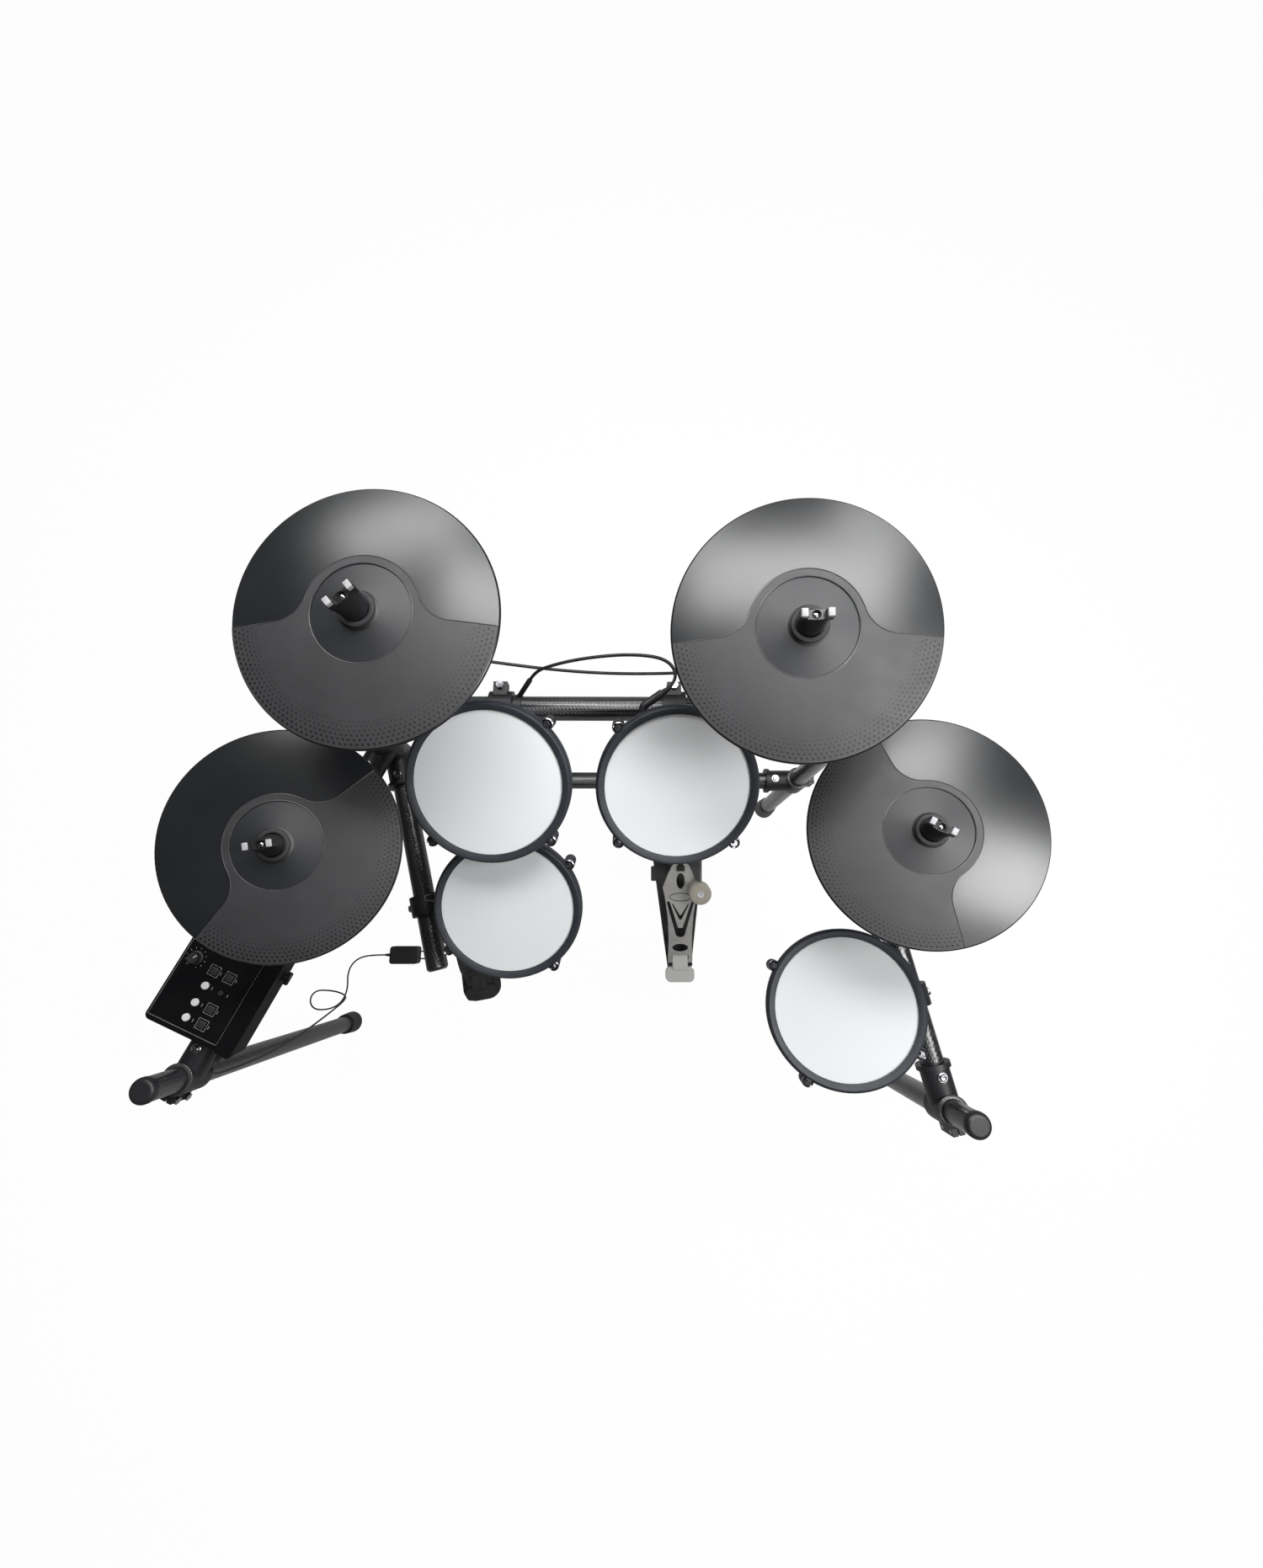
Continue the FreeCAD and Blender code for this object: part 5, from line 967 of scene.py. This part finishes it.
# the board's face is bare metal and the strap's clamp is black; the walls of its openings and the engraved
# ring's groove are painted black as painted shade in these hollows
def paintBoard():
    mesh = paint("kick_footboard", alloy)
    mesh.materials.append(pedalBlack)
    face = max((p for p in mesh.polygons if p.normal.z > boardLook["faceUp"]), key=lambda p: p.area)
    normal = face.normal.copy()
    top = normal.dot(face.center)
    middle = jointOf["kick_board_press"]["pos_m"][0]
    for p in mesh.polygons:
        above = (normal.dot(p.center) - top) / mm
        aside = (p.center.x - middle) / mm
        inner = abs(aside) < boardLook["inner"] or p.normal.x * aside < 0
        # sunk faces in the openings and the ring get black as painted shade; the proud clamp is black in its
        # own right
        clampAndPaintedShade = above > boardLook["proud"] or (above < boardLook["sunk"] and inner)
        p.material_index = 1 if clampAndPaintedShade else 0


pedalLook = {"pinHeight": 12.0, "heelHeight": 35.0, "heelDepth": 90.0}


def pinPaint(size):
    return chrome if size.z < pedalLook["pinHeight"] else None


def pedalPaint(size):
    heel = size.z < pedalLook["heelHeight"] and size.y < pedalLook["heelDepth"]
    return pinPaint(size) or (heelAlloy if heel else None)


def dressPedals():
    dressFelt()
    paintBoard()
    paintSolids("kick_pedal_base", pedalBlack, pedalPaint)
    paint("kick_tower", pedalBlack)
    paintSolids("hihat_pedal_base", treadRubber, pinPaint)
    paint("hihat_footboard", treadRubber)
    dressStrap()
    dressKickPad()


ribLook = {"count": 15, "pitch": 12.0, "first": 34.0, "rise": 8.0, "rib": (66.0, 3.2, -0.4, 1.3, 0.6)}


# tread ribs of the hi-hat footboard
def dressTread():
    joint = jointOf["hihat_board_press"]
    across = -Vector(joint["axis"])
    normal = meanNormal(nodes["hihat_footboard"].data, 0.9)
    along = normal.cross(across).normalized()
    place = framed(joint["pos_m"], across, along, normal)
    bm = bmesh.new()
    softBlock(bm, *ribLook["rib"])
    rib = meshFrom(bm, "treadRib")
    spots = [(place @ shifted(0, ribLook["first"] + k * ribLook["pitch"], ribLook["rise"]), 1.0)
             for k in range(ribLook["count"])]
    scattered("treadRibs", rib, spots, treadRubber, "hihat_board")


# sound module, in the module's own frame (mm from the middle of its top)
moduleLook = {
    "width": 152.0, "length": 230.0, "ridge": 26.0, "margin": 8.0, "plugSize": 40.0, "facing": 0.6,
    "columns": (-18.0, 9.0), "rows": (-11.0, -36.0, -64.0, -89.0), "knob": (-54.0, -5.0),
    "square": 12.0, "squareEdge": 1.2, "round": 6.0, "small": 4.0, "rise": 2.5, "depth": 4.0,
}
keyPlan = {
    "pattern_key": (0, 0, "square"), "click_key": (1, 0, "square"), "kit_button": (0, 1, "round"),
    "record_button": (1, 1, "small"), "voice_button": (0, 2, "round"), "page_key": (1, 2, "square"),
    "tempo_button": (0, 3, "round"), "start_key": (1, 3, "square"),
}


def moduleFrame():
    up = -Vector(jointOf["kit_button_press"]["axis"])
    along = -Vector(jointOf["module_tilt"]["axis"])
    across = along.cross(up).normalized()
    knobX, knobY = moduleLook["knob"]
    return framed(jointOf["volume_turn"]["pos_m"], across, along, up) @ shifted(-knobX, -knobY)


moduleAt = moduleFrame()


def keySpot(column, row):
    return moduleLook["columns"][column], moduleLook["rows"][row]


def dressModule():
    paintSolids("module_case", moduleBlack, smallIs(leadJacket, moduleLook["plugSize"]))
    case = nodes["module_case"].data
    case.materials.append(caseBlack)
    facing = moduleAt.to_3x3().col[2]
    for p in case.polygons:
        if p.material_index == 0 and p.normal.dot(facing) < moduleLook["facing"]:
            p.material_index = len(case.materials) - 1
    low, high = -moduleLook["depth"], moduleLook["rise"]
    for node, (column, row, kind) in keyPlan.items():
        bm = bmesh.new()
        r = moduleLook[kind]
        if kind == "square":
            softBlock(bm, r, r, low, high, moduleLook["squareEdge"])
        else:
            spun(bm, [(0, low), (r - 0.2, low), (r, low + 0.3), (r, high - 1.0), (r - 0.3, high - 0.4),
                      (r - 1.0, high), (r * 0.5, high - 0.15), (0, high - 0.2)], 40)
        first, second = node.split("_")
        pale = kind == "round"
        cap = finishPiece(first + second.capitalize() + "Cap", bm, buttonWhite if pale else keyGrey, node,
                          moduleAt @ shifted(*keySpot(column, row)))
        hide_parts(node)
    dressKnob()
    dressPanel()


knobLook = {
    "profile": [(0, 0), (10.8, 0), (10.9, 0.8), (8.8, 2.0), (8.4, 11.4), (7.8, 12.6), (6.4, 13.0),
                (5.2, 12.7), (0, 12.6)],
    "lift": 0.3, "flutes": 24, "fluteDepth": 0.035, "gripRadius": 8.2, "grip": (1.5, 12.0),
    "line": (1.3, 6.5, 12.3, 13.2, 0.25), "lineReach": 5.2, "lineTurn": -35.0,
}


def dressKnob():
    look = knobLook
    place = moduleAt @ shifted(*moduleLook["knob"], look["lift"])
    bm = bmesh.new()
    spun(bm, look["profile"], 96)
    low, high = look["grip"]
    for vert in bm.verts:  # fluted grip
        if low * mm < vert.co.z < high * mm and vert.co.xy.length > look["gripRadius"] * mm:
            around = atan2(vert.co.y, vert.co.x)
            vert.co.xy *= 1 - look["fluteDepth"] * (1 + cos(look["flutes"] * around)) / 2
    knob = finishPiece("volumeKnobCap", bm, keyGrey, "volume", place)
    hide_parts("volume_knob")
    bm = bmesh.new()
    softBlock(bm, *look["line"], turned(look["lineTurn"]) @ shifted(0, look["lineReach"]))
    finishPiece("volumeKnobLine", bm, buttonWhite, "volume", place)


panelLook = {  # a rise is a block's low, high and edge
    "screen": (59.2, 29.2, -1.4, -0.5, 0.3), "screenAt": (-14.0, 52.0),
    "line": 1.2, "lineRise": (-0.3, 0.35, 0.2), "inset": 1.0,
    "markRise": (-0.3, 0.18, 0.1), "frame": (0.5, 16.6), "word": (0.8, 5.0), "wordReach": 11.5,
    "tick": (0.7, 2.6), "tickReach": 15.2, "tickTurns": range(-150, 151, 30),
    "wing": (6.5, 22.0, 3.0, 11.0, 2.6), "wingAt": (76.0, 20.0, -24.0),
    "wingBoss": [(0, -1), (5.5, -1), (6, 0), (6, 3), (4, 4.5), (0, 4.5)],
}


# screen glass, panel lines, key frames and plain marks
def dressPanel():
    look = panelLook
    bm = bmesh.new()
    softBlock(bm, *look["screen"], shifted(*look["screenAt"]))
    finishPiece("moduleScreen", bm, screenGlass, "module", moduleAt)
    bm = bmesh.new()
    line, rise = look["line"], look["lineRise"]
    middle = -moduleLook["ridge"] / 2 - look["inset"]
    wide = moduleLook["width"] - moduleLook["ridge"] - moduleLook["margin"]
    long = moduleLook["length"] - 2 * moduleLook["margin"]
    for side in (1, -1):
        softBlock(bm, line, long, *rise, shifted(middle + side * wide / 2))
    for end in (-1, 1):
        softBlock(bm, wide, line, *rise, shifted(middle, end * long / 2))
    finishPiece("moduleEdgeLine", bm, trimGrey, "module", moduleAt)
    addMarks()
    # wing screw of the bracket, on the drummer's side
    bm = bmesh.new()
    spun(bm, look["wingBoss"], 24)
    softBlock(bm, *look["wing"])
    side = moduleAt @ shifted(*look["wingAt"]) @ turned(90, "Y")
    finishPiece("moduleWingScrew", bm, nutBlack, "module", side)


def addMarks():
    look = panelLook
    bm = bmesh.new()
    rise = look["markRise"]
    thin, long = look["frame"]
    for column, row, kind in keyPlan.values():
        x, y = keySpot(column, row)
        if kind == "square":
            for side in (-long / 2, long / 2):
                softBlock(bm, thin, long, *rise, shifted(x + side, y))
                softBlock(bm, long, thin, *rise, shifted(x, y + side))
        softBlock(bm, *look["word"], *rise, shifted(x + look["wordReach"], y))
    for turn in look["tickTurns"]:  # ticks round the knob
        place = shifted(*moduleLook["knob"]) @ turned(turn) @ shifted(0, look["tickReach"])
        softBlock(bm, *look["tick"], *rise, place)
    finishPiece("moduleMarks", bm, markGrey, "module", moduleAt)


# stage
stageLook = {
    "floor": (0.60, 0.63), "floorRough": 0.8, "floorSize": 9.0, "floorDrop": -0.6,
    "glow": 0.93, "glowStrength": 1.04, "sky": 0.07,
    "lights": {  # place, target, size and power
        "keyLight": ((0.35, 0.66, 2.50), (0.32, 0.50, 1.0), (1.35, 0.50), 23.0),
        "sideLight": ((1.30, -0.25, 2.40), (0.45, 0.0, 0.9), (0.60, 0.95), 25.0),
        "backLeftLight": ((-0.65, 1.30, 2.55), (-0.15, 0.30, 1.0), (0.95, 0.50), 13.0),
        "backRightLight": ((1.00, 1.10, 2.55), (0.40, 0.15, 1.0), (0.60, 0.50), 7.0),
        "frontLight": ((0.70, -0.85, 2.00), (0.25, 0.0, 0.6), (0.80, 0.50), 3.0),
    },
}
white = (1, 1, 1, 1)


def addStage():
    bm = bmesh.new()
    bmesh.ops.create_grid(bm, x_segments=1, y_segments=1, size=stageLook["floorSize"])
    floor = finishPiece("studioFloor", bm, floorMaterial(), None, shifted(0, 0, stageLook["floorDrop"]))
    world = bpy.data.worlds.new("studioSky")
    scene.world = world
    world.use_nodes = True
    back = world.node_tree.nodes["Background"]
    paths = addNode(back, "ShaderNodeLightPath").outputs
    seen = mathNode("MAXIMUM", paths["Is Camera Ray"], paths["Is Transmission Ray"])
    feed(back, {"Color": white, "Strength": spread(seen, stageLook["sky"], 1.0, 0, 1)})
    for name, plan in stageLook["lights"].items():
        softBox(name, *plan)


def softBox(name, place, target, size, power):
    data = bpy.data.lights.new(name, "AREA")
    data.shape = "RECTANGLE"
    data.size, data.size_y = size
    data.energy = power
    lamp = addObject(name, data)
    lamp.location = place
    lamp.rotation_euler = (Vector(target) - Vector(place)).to_track_quat("-Z", "Y").to_euler()


# pale floor that the camera sees nearly white
def floorMaterial():
    mat, shader, coords = startMaterial("paleFloor")
    dark, light = ((tone,) * 3 for tone in stageLook["floor"])
    shade = noise(coords, scale=3.0, detail=3.0)
    feed(shader, {"Base Color": tinted(shade, dark, light), "Roughness": stageLook["floorRough"]})
    paths = addNode(shader, "ShaderNodeLightPath").outputs
    glow = addNode(shader, "ShaderNodeEmission", {"Color": white, "Strength": stageLook["glowStrength"]})
    share = mathNode("MULTIPLY", paths["Is Camera Ray"], stageLook["glow"])
    mix = addNode(shader, "ShaderNodeMixShader", {"Fac": share, 1: shader.outputs["BSDF"],
                                                  2: glow.outputs["Emission"]})
    feed(mat.node_tree.nodes["Material Output"], {"Surface": mix.outputs["Shader"]})
    return mat


addCamera()
addStage()
dressLeads()
print("leads laid")
dressRack()
for cymbalName in cymbalNames:
    dressCymbal(cymbalName)
print("rack and cymbals dressed")
for padName in padNames:
    dressPad(padName)
print("pads dressed")
dressPedals()
dressTread()
dressModule()
print("pedals and module dressed")
